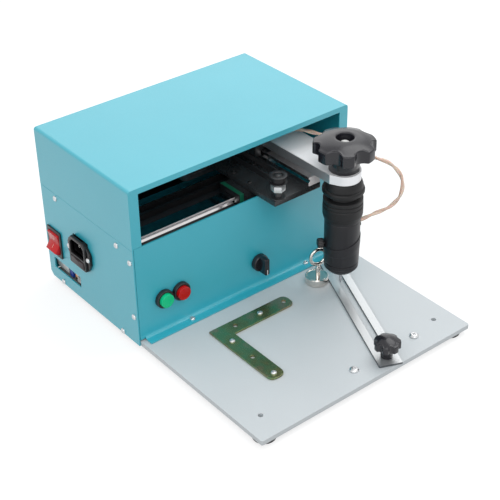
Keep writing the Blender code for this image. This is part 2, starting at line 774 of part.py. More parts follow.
def make_front_panel():
    """The front panel, bent forward at its foot, with the holes for the controls."""
    bend_z = GAP + SHEET + FLANGE_BEND
    profile = [(SHEET, PANEL_TOP), (SHEET, bend_z)]
    profile += arc(-FLANGE_BEND, bend_z, FLANGE_BEND + SHEET, 4, 3)
    profile += [(-FLANGE_REACH, GAP), (-FLANGE_REACH, GAP + SHEET)]
    profile += arc(-FLANGE_BEND, bend_z, FLANGE_BEND, 3, 4)
    profile += [(0, PANEL_TOP)]
    x0, x1 = SHEET + GAP, HOUSING_W - SHEET - GAP
    panel = finish("front_panel", extruded(in_side_view(profile), X_LEFT + x0, x1 - x0, "X"),
                   "turquoise_paint", place(HOUSING_W / 2, 0, 0))
    for low in (x0, x1 - FLANGE_INSET):
        cut(panel, block(low - OVERRUN, low + FLANGE_INSET + OVERRUN, -FLANGE_REACH - OVERRUN, -GAP,
                         -OVERRUN, FLANGE_BEND + 2 * SHEET))
    z0, z1 = FLANGE_BEND + RETURN_MARGIN, PANEL_TOP - RETURN_MARGIN
    for low in (x0, x1 - SHEET):
        join(panel, block(low, low + SHEET, SHEET / 2, SHEET + SIDE_RETURN, z0, z1))
    through = SHEET + 2 * OVERRUN
    for number in range(2):
        hole = place(BUTTON_X + number * BUTTON_PITCH, -OVERRUN, BUTTON_Z)
        cut(panel, rod(hole, BARREL_R + GAP, through, "Y"))
    cut(panel, rod(place(SPEED_X, -OVERRUN, SPEED_Z), SPEED_SHAFT_R + GAP, through, "Y"))


def make_cover():
    """The cover: two sides and a top bent from one sheet, a back, a frame round the mouth and four tabs."""
    w, h, r = HOUSING_W, COVER_TOP, COVER_BEND
    inner = r - SHEET
    profile = [(0, SEAM_Z), (SHEET, SEAM_Z)]
    profile += arc(r, h - r, inner, 2, 1) + arc(w - r, h - r, inner, 1, 0)
    profile += [(w - SHEET, SEAM_Z), (w, SEAM_Z)]
    profile += arc(w - r, h - r, r, 0, 1) + arc(r, h - r, r, 1, 2)
    cover = finish("top_cover", extruded(in_front_view(profile), Y_FRONT, HOUSING_D, "Y"),
                   "turquoise_paint", place(w / 2, HOUSING_D / 2, h))
    half = SHEET / 2
    join(cover, block(half, w - half, HOUSING_D - SHEET, HOUSING_D, SEAM_Z, h - half))
    frame_z = PANEL_TOP + GAP
    for low, high in ((half, FRAME_SIDE), (w - FRAME_SIDE, w - half)):
        join(cover, block(low, high, 0, SHEET, frame_z, h - half))
    join(cover, block(half, w - half, 0, SHEET, h - FRAME_TOP, h - half))
    step = SHEET + GAP
    for y in (TAB_FRONT_Y, TAB_BACK_Y):
        tab = [(half, SEAM_Z + GAP), (step, SEAM_Z + GAP), (step, SEAM_Z - TAB_DROP),
               (step + SHEET, SEAM_Z - TAB_DROP), (step + SHEET, SEAM_Z + TAB_RISE), (half, SEAM_Z + TAB_RISE)]
        mirrored = [(w - x, z) for x, z in tab]
        start = Y_FRONT + y - TAB_W / 2
        join(cover, extruded(in_front_view(tab), start, TAB_W, "Y"))
        join(cover, extruded(in_front_view(mirrored), start, TAB_W, "Y"))


# Left side fittings

def make_inlet():
    """The mains inlet with its three blades, and the fuse drawer under its socket."""
    y, z = INLET_Y, INLET_Z
    ear = [(y - INLET_EAR_REACH, z - INLET_EAR_H / 2 - INLET_EAR_DROP),
           (y - INLET_W / 2, z - INLET_H / 2), (y + INLET_W / 2, z - INLET_H / 2),
           (y + INLET_EAR_REACH, z - INLET_EAR_H / 2 - INLET_EAR_DROP),
           (y + INLET_EAR_REACH, z + INLET_EAR_H / 2 - INLET_EAR_DROP),
           (y + INLET_W / 2 - INLET_CORNER, z + INLET_H / 2),
           (y - INLET_W / 2 + INLET_CORNER, z + INLET_H / 2),
           (y - INLET_EAR_REACH, z + INLET_EAR_H / 2 - INLET_EAR_DROP)]
    flange = extruded(in_side_view(ear), X_LEFT - INLET_EAR_T - GAP, INLET_EAR_T, "X")
    inlet = finish("power_inlet", flange, "black_plastic", place(0, y, z), smooth=False)
    raised = cut_box_outline(y - INLET_W / 2, y + INLET_W / 2, z - INLET_H / 2, z + INLET_H / 2, 0.2 * INLET_CORNER,
                             INLET_CORNER)
    join(inlet, extruded(in_side_view(raised), X_LEFT - INLET_PROUD, INLET_PROUD - GAP, "X"))
    join(inlet, block(-INLET_EAR_T, INLET_BOX_DEEP, y - INLET_BOX_W / 2, y + INLET_BOX_W / 2,
                      z - INLET_BOX_H / 2, z + INLET_BOX_H / 2))
    middle = z + SOCKET_RISE
    socket = cut_box_outline(y - SOCKET_W / 2, y + SOCKET_W / 2, middle - SOCKET_H / 2, middle + SOCKET_H / 2,
                             0.1 * SOCKET_CORNER, SOCKET_CORNER)
    mouth = X_LEFT - INLET_PROUD - OVERRUN
    cut(inlet, extruded(in_side_view(socket), mouth, SOCKET_DEEP + OVERRUN, "X"))
    floor_x = SOCKET_DEEP - INLET_PROUD
    for column, rise in ((-1, -BLADE_STAGGER / 2), (0, BLADE_STAGGER / 2), (1, -BLADE_STAGGER / 2)):
        blade_y = y + column * BLADE_PITCH
        join(inlet, block(floor_x - BLADE_L, floor_x + OVERRUN / 2, blade_y - BLADE_T / 2, blade_y + BLADE_T / 2,
                          middle + rise - BLADE_W / 2, middle + rise + BLADE_W / 2))
    low = z - DRAWER_DROP
    cut(inlet, block(-INLET_PROUD - OVERRUN, DRAWER_DEEP - INLET_PROUD, y - DRAWER_W / 2, y + DRAWER_W / 2,
                     low - DRAWER_H / 2, low + DRAWER_H / 2))
    empty_at = place(0, y, low)
    drawer = finish("fuse_drawer", block(-INLET_PROUD - DRAWER_PROUD, DRAWER_DEEP - INLET_PROUD - GAP,
                                         y - DRAWER_W / 2 + GAP, y + DRAWER_W / 2 - GAP,
                                         low - DRAWER_H / 2 + GAP, low + DRAWER_H / 2 - GAP),
                    "black_plastic", empty_at, smooth=False)
    fuse_y = DRAWER_W / 2 - 2 * BLADE_T
    cut(drawer, block(0, DRAWER_DEEP, y - fuse_y, y + fuse_y, low - BLADE_T, low + DRAWER_H))


def make_switch():
    """The switch's rim and box, and the rocker in it with its lower end raised."""
    y, z = SWITCH_Y, SWITCH_Z
    rim = rounded_box_outline(y - SWITCH_W / 2, y + SWITCH_W / 2, z - SWITCH_H / 2, z + SWITCH_H / 2, SWITCH_WALL)
    switch = finish("switch_rim", extruded(in_side_view(rim), X_LEFT - SWITCH_RIM_T, SWITCH_RIM_T - GAP, "X"),
                    "black_plastic", place(0, y, z), smooth=False)
    join(switch, block(-SWITCH_RIM_T / 2, SWITCH_BOX_DEEP, y - SWITCH_BOX_W / 2, y + SWITCH_BOX_W / 2,
                       z - SWITCH_BOX_H / 2, z + SWITCH_BOX_H / 2))
    half_w = ROCKER_W / 2 + GAP
    half_h = ROCKER_R + GAP
    cut(switch, block(-SWITCH_RIM_T - OVERRUN, SWITCH_BOX_DEEP - SWITCH_WALL, y - half_w, y + half_w,
                      z - half_h, z + half_h))
    pivot_x = ROCKER_PIVOT_DEEP
    steps = 2 * BEND_STEPS

    def end_face(side, tilt):
        """One end's round face, from inside the box out to its rim."""
        points = []
        for step in range(steps + 1):
            angle = tilt - ROCKER_LOW_ANGLE + (ROCKER_RIM_ANGLE + ROCKER_LOW_ANGLE) * step / steps
            points.append((pivot_x - ROCKER_R * math.sin(angle), z + side * ROCKER_R * math.cos(angle)))
        return points

    outline = end_face(-1, ROCKER_TILT) + [(pivot_x - ROCKER_VALLEY, z)] + end_face(1, -ROCKER_TILT)[::-1]
    rocker = extruded(in_front_view(outline), Y_FRONT + y - ROCKER_W / 2, ROCKER_W, "Y")
    body = empty("rocker_axis", place(pivot_x, y, z))
    finish("switch_rocker", rocker, "red_plastic", place(pivot_x, y, z), body, smooth=False)


# Electronics

def make_electronics():
    """The control board on its legs, its two ports, and the power supply."""
    board = finish("control_board", block(BOARD_X, BOARD_X + BOARD_L, BOARD_Y, BOARD_Y + BOARD_W,
                                          BOARD_Z, BOARD_Z + BOARD_T), "board_green",
                   place(BOARD_X, BOARD_Y, 0), smooth=False)
    for x in (BOARD_X + BOARD_LEG_INSET, BOARD_X + BOARD_L - BOARD_LEG_INSET):
        for y in (BOARD_Y + BOARD_LEG_INSET, BOARD_Y + BOARD_W - BOARD_LEG_INSET):
            join(board, rod(place(x, y, GAP), BOARD_LEG_R, BOARD_Z + BOARD_T / 2 - GAP, sides=TINY_ROUND))
    port_x = BOARD_X - PORT_REACH
    top = BOARD_Z + BOARD_T + GAP
    usb = finish("usb_port", block(port_x, port_x + USB_L, USB_Y - USB_W / 2, USB_Y + USB_W / 2, top, top + USB_H),
                 "bearing_steel", place(port_x, USB_Y, top), smooth=False)
    cut(usb, block(port_x - OVERRUN, port_x + USB_POCKET, USB_Y - USB_W / 2 + USB_WALL, USB_Y + USB_W / 2 - USB_WALL,
                   top + USB_WALL, top + USB_H - USB_WALL))
    y0, y1 = TERMINAL_Y - TERMINAL_W / 2, TERMINAL_Y + TERMINAL_W / 2
    shape = [(port_x, top), (port_x + TERMINAL_L, top), (port_x + TERMINAL_L, top + TERMINAL_H),
             (port_x + TERMINAL_STEP, top + TERMINAL_H), (port_x, top + TERMINAL_H - TERMINAL_STEP)]
    finish("port_terminal", extruded(in_front_view(shape), Y_FRONT + y0, y1 - y0, "Y"), "blue_plastic",
           place(port_x, TERMINAL_Y, top), smooth=False)
    x0, x1 = SUPPLY_X, SUPPLY_X + SUPPLY_L
    supply = finish("power_supply", block(x0, x1, SUPPLY_Y, SUPPLY_Y + SUPPLY_W, GAP, SUPPLY_H), "bearing_steel",
                    place(x0, SUPPLY_Y, 0), smooth=False)
    for low, high in ((x0 - SUPPLY_LUG, x0 + SUPPLY_LUG), (x1 - SUPPLY_LUG, x1 + SUPPLY_LUG)):
        join(supply, block(low, high, SUPPLY_Y + SUPPLY_LUG, SUPPLY_Y + SUPPLY_W - SUPPLY_LUG, GAP,
                           GAP + SUPPLY_LUG_T))


# Front controls

def make_button(colour, look, x):
    """A push button's body through the panel, and its cap, which travels in it."""
    at = place(x, 0, BUTTON_Z)
    body_profile = [(BARREL_BORE_R, -BEZEL_T), (BEZEL_R - CAP_EDGE, -BEZEL_T), (BEZEL_R, CAP_EDGE - BEZEL_T),
                    (BEZEL_R, -GAP), (BARREL_R, -GAP), (BARREL_R, BARREL_L), (0, BARREL_L),
                    (0, BARREL_BORE_L), (BARREL_BORE_R, BARREL_BORE_L)]
    finish(f"{colour}_button_body", turned(body_profile, at, "Y"), "black_plastic", at)
    cap_profile = [(0, -CAP_PROUD), (CAP_R - CAP_EDGE, -CAP_PROUD), (CAP_R, CAP_EDGE - CAP_PROUD), (CAP_R, CAP_SINK),
                   (0, CAP_SINK)]
    body = empty(f"{colour}_cap_slide", at)
    finish(f"{colour}_button_cap", turned(cap_profile, at, "Y"), look, at, body)


def make_speed_control():
    """The potentiometer behind the panel and its pointer knob."""
    at = place(SPEED_X, 0, SPEED_Z)
    behind = SHEET + GAP
    profile = [(0, -SPEED_SHAFT_L), (SPEED_SHAFT_R, -SPEED_SHAFT_L), (SPEED_SHAFT_R, behind), (SPEED_POT_R, behind),
               (SPEED_POT_R, behind + SPEED_POT_L), (0, behind + SPEED_POT_L)]
    finish("speed_pot", turned(profile, at, "Y", SMALL_ROUND), "bearing_steel", at)
    face = SPEED_OFF + SPEED_SKIRT_T
    tip = SPEED_OFF + SPEED_KNOB_T
    skirt = [(0, -face), (SPEED_SKIRT_R - CAP_EDGE, -face), (SPEED_SKIRT_R, CAP_EDGE - face),
             (SPEED_SKIRT_R, -SPEED_OFF), (0, -SPEED_OFF)]
    body = empty("speed_knob_axis", at)
    knob = finish("speed_knob", turned(skirt, at, "Y"), "black_plastic", at, body)
    half_w, half_l = SPEED_BAR_W / 2, SPEED_BAR_L / 2
    bar = rounded_box_outline(SPEED_X - half_w, SPEED_X + half_w, SPEED_Z - half_l, SPEED_Z + half_l, half_w - CAP_EDGE)
    join(knob, extruded(in_front_view(bar), Y_FRONT - tip, tip - SPEED_OFF - CAP_EDGE, "Y"))
    cut(knob, rod(place(SPEED_X, -SPEED_SHAFT_L - GAP, SPEED_Z), SPEED_SHAFT_R + BORE_SLACK,
                  SPEED_SHAFT_L + OVERRUN, "Y"))


# The two axes

def rail_outline(middle, foot):
    """The section of a linear rail, with its side grooves, about a middle line."""
    half = RAIL_W / 2
    waist = half - RAIL_WAIST
    right = [(half, 0), (half, RAIL_GROOVE_LOW), (waist, RAIL_GROOVE_LOW + RAIL_WAIST),
             (waist, RAIL_GROOVE_HIGH - RAIL_WAIST), (half, RAIL_GROOVE_HIGH), (half, RAIL_H)]
    left = [(-a, b) for a, b in reversed(right)]
    return [(middle + a, foot + b) for a, b in right + left]


def block_outline(middle, foot, inset=0):
    """The section of a block, open underneath for its rail."""
    half = BLOCK_W / 2 - inset
    channel = RAIL_W / 2 + BLOCK_SLACK
    under, roof, top = foot + BLOCK_UNDER, foot + RAIL_H + BLOCK_SLACK, foot + BLOCK_STACK - inset
    return [(middle - half, under + inset), (middle - channel, under + inset), (middle - channel, roof),
            (middle + channel, roof), (middle + channel, under + inset), (middle + half, under + inset),
            (middle + half, top), (middle - half, top)]


def motor_outline(x, y):
    half = MOTOR_W / 2
    return in_plan(cut_box_outline(x - half, x + half, y - half, y + half, MOTOR_CORNER, MOTOR_CORNER))


def make_motor(name, x, y, top, height, shaft_top, body=None):
    """A stepping motor hung under a plate, with its boss and shaft standing up through it."""
    origin = place(x, y, top)
    motor = finish(name, extruded(motor_outline(x, y), Z_DECK + top - height, height), "black_metal", origin, body)
    join(motor, rod(place(x, y, top - MOTOR_BOSS_T), MOTOR_BOSS_R, 2 * MOTOR_BOSS_T, sides=ROUND))
    join(motor, rod(place(x, y, top), MOTOR_SHAFT_R, shaft_top - top))


def pulley_profile(bore, low, belt_low):
    """A toothed pulley: a hub down to a height, then two flanges either side of the belt."""
    high = belt_low + BELT_W + PULLEY_SIDE_GAP
    floor_z = belt_low - PULLEY_SIDE_GAP
    flange, barrel, thick = PULLEY_FLANGE_R, PULLEY_BARREL_R, PULLEY_FLANGE_T
    profile = [(bore, low)]
    if low < floor_z - thick:
        profile += [(PULLEY_HUB_R, low), (PULLEY_HUB_R, floor_z - thick)]
    profile += [(flange, floor_z - thick), (flange, floor_z), (barrel, floor_z), (barrel, high), (flange, high),
                (flange, high + thick), (bore, high + thick)]
    return profile


def make_pulley(name, x, y, bore, low, belt_low, body):
    at = place(x, y, 0)
    turning = empty(name + "_axis", at, body)
    finish(name, turned(pulley_profile(bore, low, belt_low), at), "bearing_steel", at, turning)


def make_belt(name, ends, low, body=None):
    """A belt as a band round its two pulleys."""
    (x0, y0), (x1, y1) = ends
    far_start = 0 if abs(y1 - y0) > abs(x1 - x0) else -1
    steps = 3 * BEND_STEPS

    def loop(radius):
        points = arc(x1, y1, radius, far_start, far_start + 2, steps)
        return points + arc(x0, y0, radius, far_start + 2, far_start + 4, steps)

    outer, inner = BELT_PITCH_R + BELT_T / 2, BELT_PITCH_R - BELT_T / 2
    z0, z1 = low, low + BELT_W
    loops = [[(x, y, z) for x, y in loop(radius)] for radius, z in ((inner, z0), (outer, z0), (outer, z1), (inner, z1))]
    origin = place(x0, y0, 0)
    finish(name, stacked(loops, place(0, 0, 0)), "black_rubber", origin, body)


def make_x_axis():
    """The shelf across the housing with its rail, motor, idler and belt."""
    x0, x1 = SHEET + GAP, HOUSING_W - SHEET - GAP
    low = SHELF_TOP - SHELF_T
    shelf = finish("rail_shelf", block(x0, x1, SHELF_Y0, SHELF_Y1, low, SHELF_TOP), "black_metal",
                   place(HOUSING_W / 2, SHELF_Y0, SHELF_TOP), smooth=False)
    lip_y1 = X_BELT_Y - MOTOR_W / 2 - GAP
    for lip in (x0, x1 - SHELF_T):
        join(shelf, block(lip, lip + SHELF_T, SHELF_Y0, lip_y1, SHELF_TOP - SHELF_LIP, SHELF_TOP - SHELF_T / 2))
    cut(shelf, rod(place(X_MOTOR_X, X_BELT_Y, low - OVERRUN), MOTOR_BOSS_R + GAP, SHELF_T + 2 * OVERRUN, sides=ROUND))
    rail = [(Y_FRONT + y, Z_DECK + z) for y, z in rail_outline(X_RAIL_Y, X_RAIL_Z)]
    finish("x_rail", extruded(rail, X_LEFT + X_RAIL_LEFT, X_RAIL_X1 - X_RAIL_LEFT, "X"), "bearing_steel",
           place(X_RAIL_LEFT, X_RAIL_Y, X_RAIL_Z), smooth=False)
    pulley_top = X_BELT_Z + BELT_W + PULLEY_SIDE_GAP + PULLEY_FLANGE_T
    make_motor("x_motor", X_MOTOR_X, X_BELT_Y, low - GAP, X_MOTOR_H, pulley_top)
    bore = MOTOR_SHAFT_R + BORE_SLACK
    make_pulley("x_drive_pulley", X_MOTOR_X, X_BELT_Y, bore, SHELF_TOP + GAP, X_BELT_Z, None)
    idler_low = X_BELT_Z - PULLEY_SIDE_GAP - PULLEY_FLANGE_T
    make_pulley("x_idler_pulley", X_IDLER_X, X_BELT_Y, IDLER_PIN_R + BORE_SLACK, idler_low, X_BELT_Z, None)
    post = [(0, SHELF_TOP - SHELF_T / 2), (IDLER_POST_R, SHELF_TOP - SHELF_T / 2), (IDLER_POST_R, idler_low - GAP),
            (IDLER_PIN_R, idler_low - GAP), (IDLER_PIN_R, pulley_top), (0, pulley_top)]
    join(shelf, turned(post, place(X_IDLER_X, X_BELT_Y, 0), sides=SMALL_ROUND))
    make_belt("x_belt", ((X_MOTOR_X, X_BELT_Y), (X_IDLER_X, X_BELT_Y)), X_BELT_Z)


def make_x_carriage(body):
    """What runs along the X rail: its block, the Y plate, and the Y axis's rail, motor, idler and belt."""
    section = [(Y_FRONT + y, Z_DECK + z) for y, z in block_outline(X_RAIL_Y, X_RAIL_Z)]
    x0, x1 = X_BLOCK_X - X_BLOCK_L / 2, X_BLOCK_X + X_BLOCK_L / 2
    finish("x_block", extruded(section, X_LEFT + x0, x1 - x0, "X"), "black_metal",
           place(X_BLOCK_X, X_RAIL_Y, X_RAIL_Z), body, smooth=False)
    section = [(Y_FRONT + y, Z_DECK + z) for y, z in block_outline(X_RAIL_Y, X_RAIL_Z, X_CAP_INSET)]
    for side, low in (("left", x0 - GAP - X_CAP_T), ("right", x1 + GAP)):
        finish(f"x_block_cap_{side}", extruded(section, X_LEFT + low, X_CAP_T, "X"), "green_end_cap",
               place(low, X_RAIL_Y, X_RAIL_Z), body, smooth=False)
    y0, y1, step = -Y_PLATE_FRONT, Y_PLATE_Y1, Y_PLATE_STEP_Y
    outline = [(Y_PLATE_X0, y0), (Y_PLATE_X1, y0), (Y_PLATE_X1, y1), (Y_PLATE_REAR_X0, y1), (Y_PLATE_REAR_X0, step),
               (Y_PLATE_X0, step)]
    plate = finish("y_plate", extruded(in_plan(outline), Z_DECK + Y_PLATE_Z, Y_PLATE_T), "black_metal",
                   place(X_BLOCK_X, X_RAIL_Y, Y_PLATE_Z), body, smooth=False)
    tab_y = X_BELT_Y - BELT_PITCH_R + BELT_T / 2 + BELT_TAB_GAP
    join(plate, block(BELT_TAB_X, BELT_TAB_X + BELT_TAB_L, tab_y, tab_y + BELT_TAB_T, X_BELT_Z,
                      Y_PLATE_Z + Y_PLATE_T / 2))
    cut(plate, rod(place(Y_BELT_X, Y_MOTOR_Y, Y_PLATE_Z - OVERRUN), MOTOR_BOSS_R + GAP, Y_PLATE_T + 2 * OVERRUN,
                   sides=ROUND))
    middle = Y_PLATE_X1 - RAIL_W / 2
    rail = [(X_LEFT + x, Z_DECK + z) for x, z in rail_outline(middle, Y_RAIL_Z)]
    rail_y0 = y0 + GAP
    finish("y_rail", extruded(rail, Y_FRONT + rail_y0, Y_RAIL_BACK - rail_y0, "Y"), "bearing_steel",
           place(middle, rail_y0, Y_RAIL_Z), body, smooth=False)
    pulley_top = Y_BELT_Z + BELT_W + PULLEY_SIDE_GAP + PULLEY_FLANGE_T
    make_motor("y_motor", Y_BELT_X, Y_MOTOR_Y, Y_PLATE_Z - GAP, Y_MOTOR_H, pulley_top, body)
    bore = MOTOR_SHAFT_R + BORE_SLACK
    make_pulley("y_drive_pulley", Y_BELT_X, Y_MOTOR_Y, bore, Y_PLATE_TOP + GAP, Y_BELT_Z, body)
    idler_low = Y_BELT_Z - PULLEY_SIDE_GAP - PULLEY_FLANGE_T
    make_pulley("y_idler_pulley", Y_BELT_X, Y_IDLER_Y, IDLER_PIN_R + BORE_SLACK, idler_low, Y_BELT_Z, body)
    at = place(Y_BELT_X, Y_IDLER_Y, 0)
    foot, nut_low = Y_PLATE_TOP + GAP, Y_PLATE_TOP + Y_POST_H
    post = [(0, foot), (IDLER_POST_R, foot), (IDLER_POST_R, NUT_TOP), (IDLER_PIN_R, NUT_TOP),
            (IDLER_PIN_R, pulley_top + GAP), (0, pulley_top + GAP)]
    bolt = finish("y_idler_bolt", turned(post, at, sides=SMALL_ROUND), "bright_steel", at, body)
    join(bolt, rod(place(Y_BELT_X, Y_IDLER_Y, nut_low), NUT_R, NUT_H, sides=6))
    make_belt("y_belt", ((Y_BELT_X, Y_IDLER_Y), (Y_BELT_X, Y_MOTOR_Y)), Y_BELT_Z, body)


def make_arm(body):
    """What runs along the Y rail: its block and the arm, round at its front end, with a tab to the belt."""
    middle = Y_PLATE_X1 - RAIL_W / 2
    section = [(X_LEFT + x, Z_DECK + z) for x, z in block_outline(middle, Y_RAIL_Z)]
    finish("y_block", extruded(section, Y_FRONT + Y_BLOCK_Y, Y_BLOCK_L, "Y"), "black_metal",
           place(middle, Y_BLOCK_Y, Y_RAIL_Z), body, smooth=False)
    half = ARM_W / 2
    x0, x1 = AXIS_X - half, AXIS_X + half
    tab_x = Y_BELT_X + BELT_PITCH_R + BELT_T / 2 + ARM_TAB_GAP
    lead = 2 * math.acos(ARM_END_R / half) / math.pi
    outline = [(x0, AXIS_Y)] + arc(AXIS_X, AXIS_Y, ARM_END_R, 2 + lead, 4 - lead, 6 * BEND_STEPS)
    outline += [(x1, AXIS_Y), (x1, ARM_BACK), (x0, ARM_BACK), (x0, ARM_TAB_Y1), (tab_x, ARM_TAB_Y1),
                (tab_x, ARM_TAB_Y0), (x0, ARM_TAB_Y0)]
    arm = finish("head_arm", extruded(in_plan(outline), Z_DECK + ARM_Z, ARM_T), "arm_aluminium",
                 place(AXIS_X, AXIS_Y, ARM_Z), body)
    cut(arm, rod(place(AXIS_X, AXIS_Y, ARM_Z - OVERRUN), ARM_BORE_R, ARM_T + 2 * OVERRUN, sides=ROUND))


# Star knobs

def star_radius(angle, radius, scallop_r, scallop_at):
    """The outline of a star knob: a circle with a round scallop between each two lobes."""
    share = (angle * LOBES / math.tau) % 1
    from_scallop = (share - 0.5) * math.tau / LOBES
    off = scallop_at * math.sin(from_scallop)
    if abs(off) >= scallop_r:
        return radius
    near = scallop_at * math.cos(from_scallop) - math.sqrt(scallop_r ** 2 - off ** 2)
    return min(radius, near)


def star_loop(size, z, turn, roundness=0):
    """One level of a star knob. Size is its four outline values, roundness runs from star to circle."""
    radius, scallop_r, scallop_at, scale = size
    count = LOBES * STEPS_PER_LOBE
    loop = []
    for step in range(count):
        angle = math.tau * step / count
        star = star_radius(angle, radius, scallop_r, scallop_at)
        r = scale * (star + (radius - star) * roundness)
        loop.append((r * math.cos(angle + turn), r * math.sin(angle + turn), z))
    return loop


def ring_loop(radius, z):
    count = LOBES * STEPS_PER_LOBE
    return [(radius * math.cos(math.tau * step / count), radius * math.sin(math.tau * step / count), z)
            for step in range(count)]


def star_knob(outline, turn, hub, levels):
    """The loops of a star knob, from its hub's foot up over the lobes to the rim of its dome."""
    hub_low_r, hub_r, foot_z = hub
    lobe_z, rim_z, dome_z = levels
    radius, scallop_r, scallop_at = outline
    edge = 0.04 * radius
    rise = dome_z - rim_z

    def star(scale, z, roundness=0):
        return star_loop((radius, scallop_r, scallop_at, scale), z, turn, roundness)

    return [ring_loop(hub_low_r, foot_z), ring_loop(hub_r, lobe_z - edge), star(0.94, lobe_z), star(1, lobe_z + edge),
            star(1, rim_z), star(0.97, rim_z + 0.22 * rise), star(0.90, rim_z + 0.42 * rise),
            star(0.72, rim_z + 0.70 * rise, 0.45), star(0.50, rim_z + 0.90 * rise, 0.8)]


def make_head_knob(body):
    """The knob that screws the head up and down, with the hole through it."""
    at = place(AXIS_X, AXIS_Y, 0)
    turning = empty("head_knob_axis", at, body)
    foot = ARM_TOP + GAP
    loops = star_knob((KNOB_R, KNOB_SCALLOP_R, KNOB_SCALLOP_AT), KNOB_TURN, (KNOB_HUB_R, KNOB_HUB_R, foot),
                      (KNOB_LOBE_Z, KNOB_RIM_Z, KNOB_DOME_Z))
    thread = SPINDLE_R + GAP
    loops += [ring_loop(KNOB_HOLE_R + CAP_EDGE, KNOB_DOME_Z), ring_loop(KNOB_HOLE_R, KNOB_DOME_Z - CAP_EDGE),
              ring_loop(KNOB_HOLE_R, KNOB_SEAT_Z), ring_loop(thread, KNOB_SEAT_Z), ring_loop(thread, foot)]
    finish("head_knob", stacked(loops, at), "black_plastic", at, turning)


def make_head(body):
    """The head that the spindle carries: body, coil, sleeve and nose, with the needle and its spring."""
    at = place(AXIS_X, AXIS_Y, 0)
    profile = [(SPINDLE_BORE_R, BODY_TOP_Z + GAP), (SPINDLE_R, BODY_TOP_Z + GAP), (SPINDLE_R, SPINDLE_TOP_Z),
               (SPINDLE_BORE_R, SPINDLE_TOP_Z)]
    finish("head_spindle", turned(profile, at), "bright_steel", at, body)
    profile = [(HEAD_BORE_R, SPIGOT_Z), (SPIGOT_R, SPIGOT_Z), (SPIGOT_R, BODY_Z), (BODY_R, BODY_Z),
               (BODY_R, BODY_TOP_Z - BODY_EDGE), (BODY_R - BODY_EDGE, BODY_TOP_Z), (0, BODY_TOP_Z),
               (0, COIL_ROOM_Z1), (COIL_ROOM_R, COIL_ROOM_Z1), (COIL_ROOM_R, COIL_ROOM_Z0), (HEAD_BORE_R, COIL_ROOM_Z0)]
    finish("head_body", turned(profile, at), "black_metal", at, body)
    profile = [(COIL_BORE_R, COIL_ROOM_Z0 + GAP), (COIL_R, COIL_ROOM_Z0 + GAP), (COIL_R, COIL_ROOM_Z1 - GAP),
               (COIL_BORE_R, COIL_ROOM_Z1 - GAP)]
    finish("head_coil", turned(profile, at, sides=SMALL_ROUND), "copper_winding", at, body)
    web = SLEEVE_Z + SLEEVE_WEB
    profile = [(HEAD_BORE_R, SLEEVE_Z), (SLEEVE_LOW_R - SLEEVE_LIP, SLEEVE_Z), (SLEEVE_LOW_R, SLEEVE_Z + SLEEVE_LIP),
               (SLEEVE_R, SLEEVE_TOP_Z), (SLEEVE_BORE_R, SLEEVE_TOP_Z), (SLEEVE_BORE_R, web), (HEAD_BORE_R, web)]
    sleeve = finish("head_sleeve", turned(profile, at), "black_metal", at, body)
    out = Vector((math.cos(THUMB_ANGLE), math.sin(THUMB_ANGLE), 0))
    tapped = place(AXIS_X, AXIS_Y, THUMB_Z) + out * SPIGOT_R
    cut(sleeve, rod(tapped, THUMB_SHANK_R + BORE_SLACK, SLEEVE_R - SPIGOT_R + OVERRUN, out, TINY_ROUND))
    nose_top = SLEEVE_Z - GAP
    profile = [(NOSE_BORE_R, NOSE_Z), (NOSE_R, NOSE_Z), (NOSE_HALF_R, NOSE_HALF_Z), (NOSE_TOP_R, NOSE_EDGE_Z),
               (NOSE_TOP_R, nose_top), (NOSE_BORE_R, nose_top)]
    finish("needle_guide", turned(profile, at), "black_metal", at, body)
    moving = empty("needle_slide", at, body)
    profile = [(0, NEEDLE_TIP_Z), (NEEDLE_TIP_R, NEEDLE_TIP_Z), (NEEDLE_R, NEEDLE_TIP_Z + NEEDLE_CONE),
               (NEEDLE_R, NEEDLE_SEAT_Z), (NEEDLE_SEAT_R, NEEDLE_SEAT_Z), (NEEDLE_SEAT_R, NEEDLE_SEAT_Z + NEEDLE_SEAT_T),
               (NEEDLE_ROD_R, NEEDLE_SEAT_Z + NEEDLE_SEAT_T), (NEEDLE_ROD_R, NEEDLE_ROD_TOP_Z), (0, NEEDLE_ROD_TOP_Z)]
    finish("needle", turned(profile, at, sides=SMALL_ROUND), "bright_steel", at, moving)
    profile = [(SPRING_BORE_R, SLEEVE_Z), (SPRING_R, SLEEVE_Z), (SPRING_R, NEEDLE_SEAT_Z - GAP),
               (SPRING_BORE_R, NEEDLE_SEAT_Z - GAP)]
    finish("needle_spring", turned(profile, at, sides=SMALL_ROUND), "bright_steel", at, body)
    seat = place(AXIS_X, AXIS_Y, THUMB_Z) + out * (SPIGOT_R + GAP)
    head_start = SLEEVE_R - SPIGOT_R
    profile = [(0, 0), (THUMB_SHANK_R, 0), (THUMB_SHANK_R, head_start), (THUMB_R, head_start),
               (THUMB_R, head_start + THUMB_L), (0, head_start + THUMB_L)]
    screw_axis = empty("thumb_screw_axis", seat, body)
    finish("thumb_screw", turned(profile, seat, out, SMALL_ROUND), "black_plastic", seat, screw_axis)


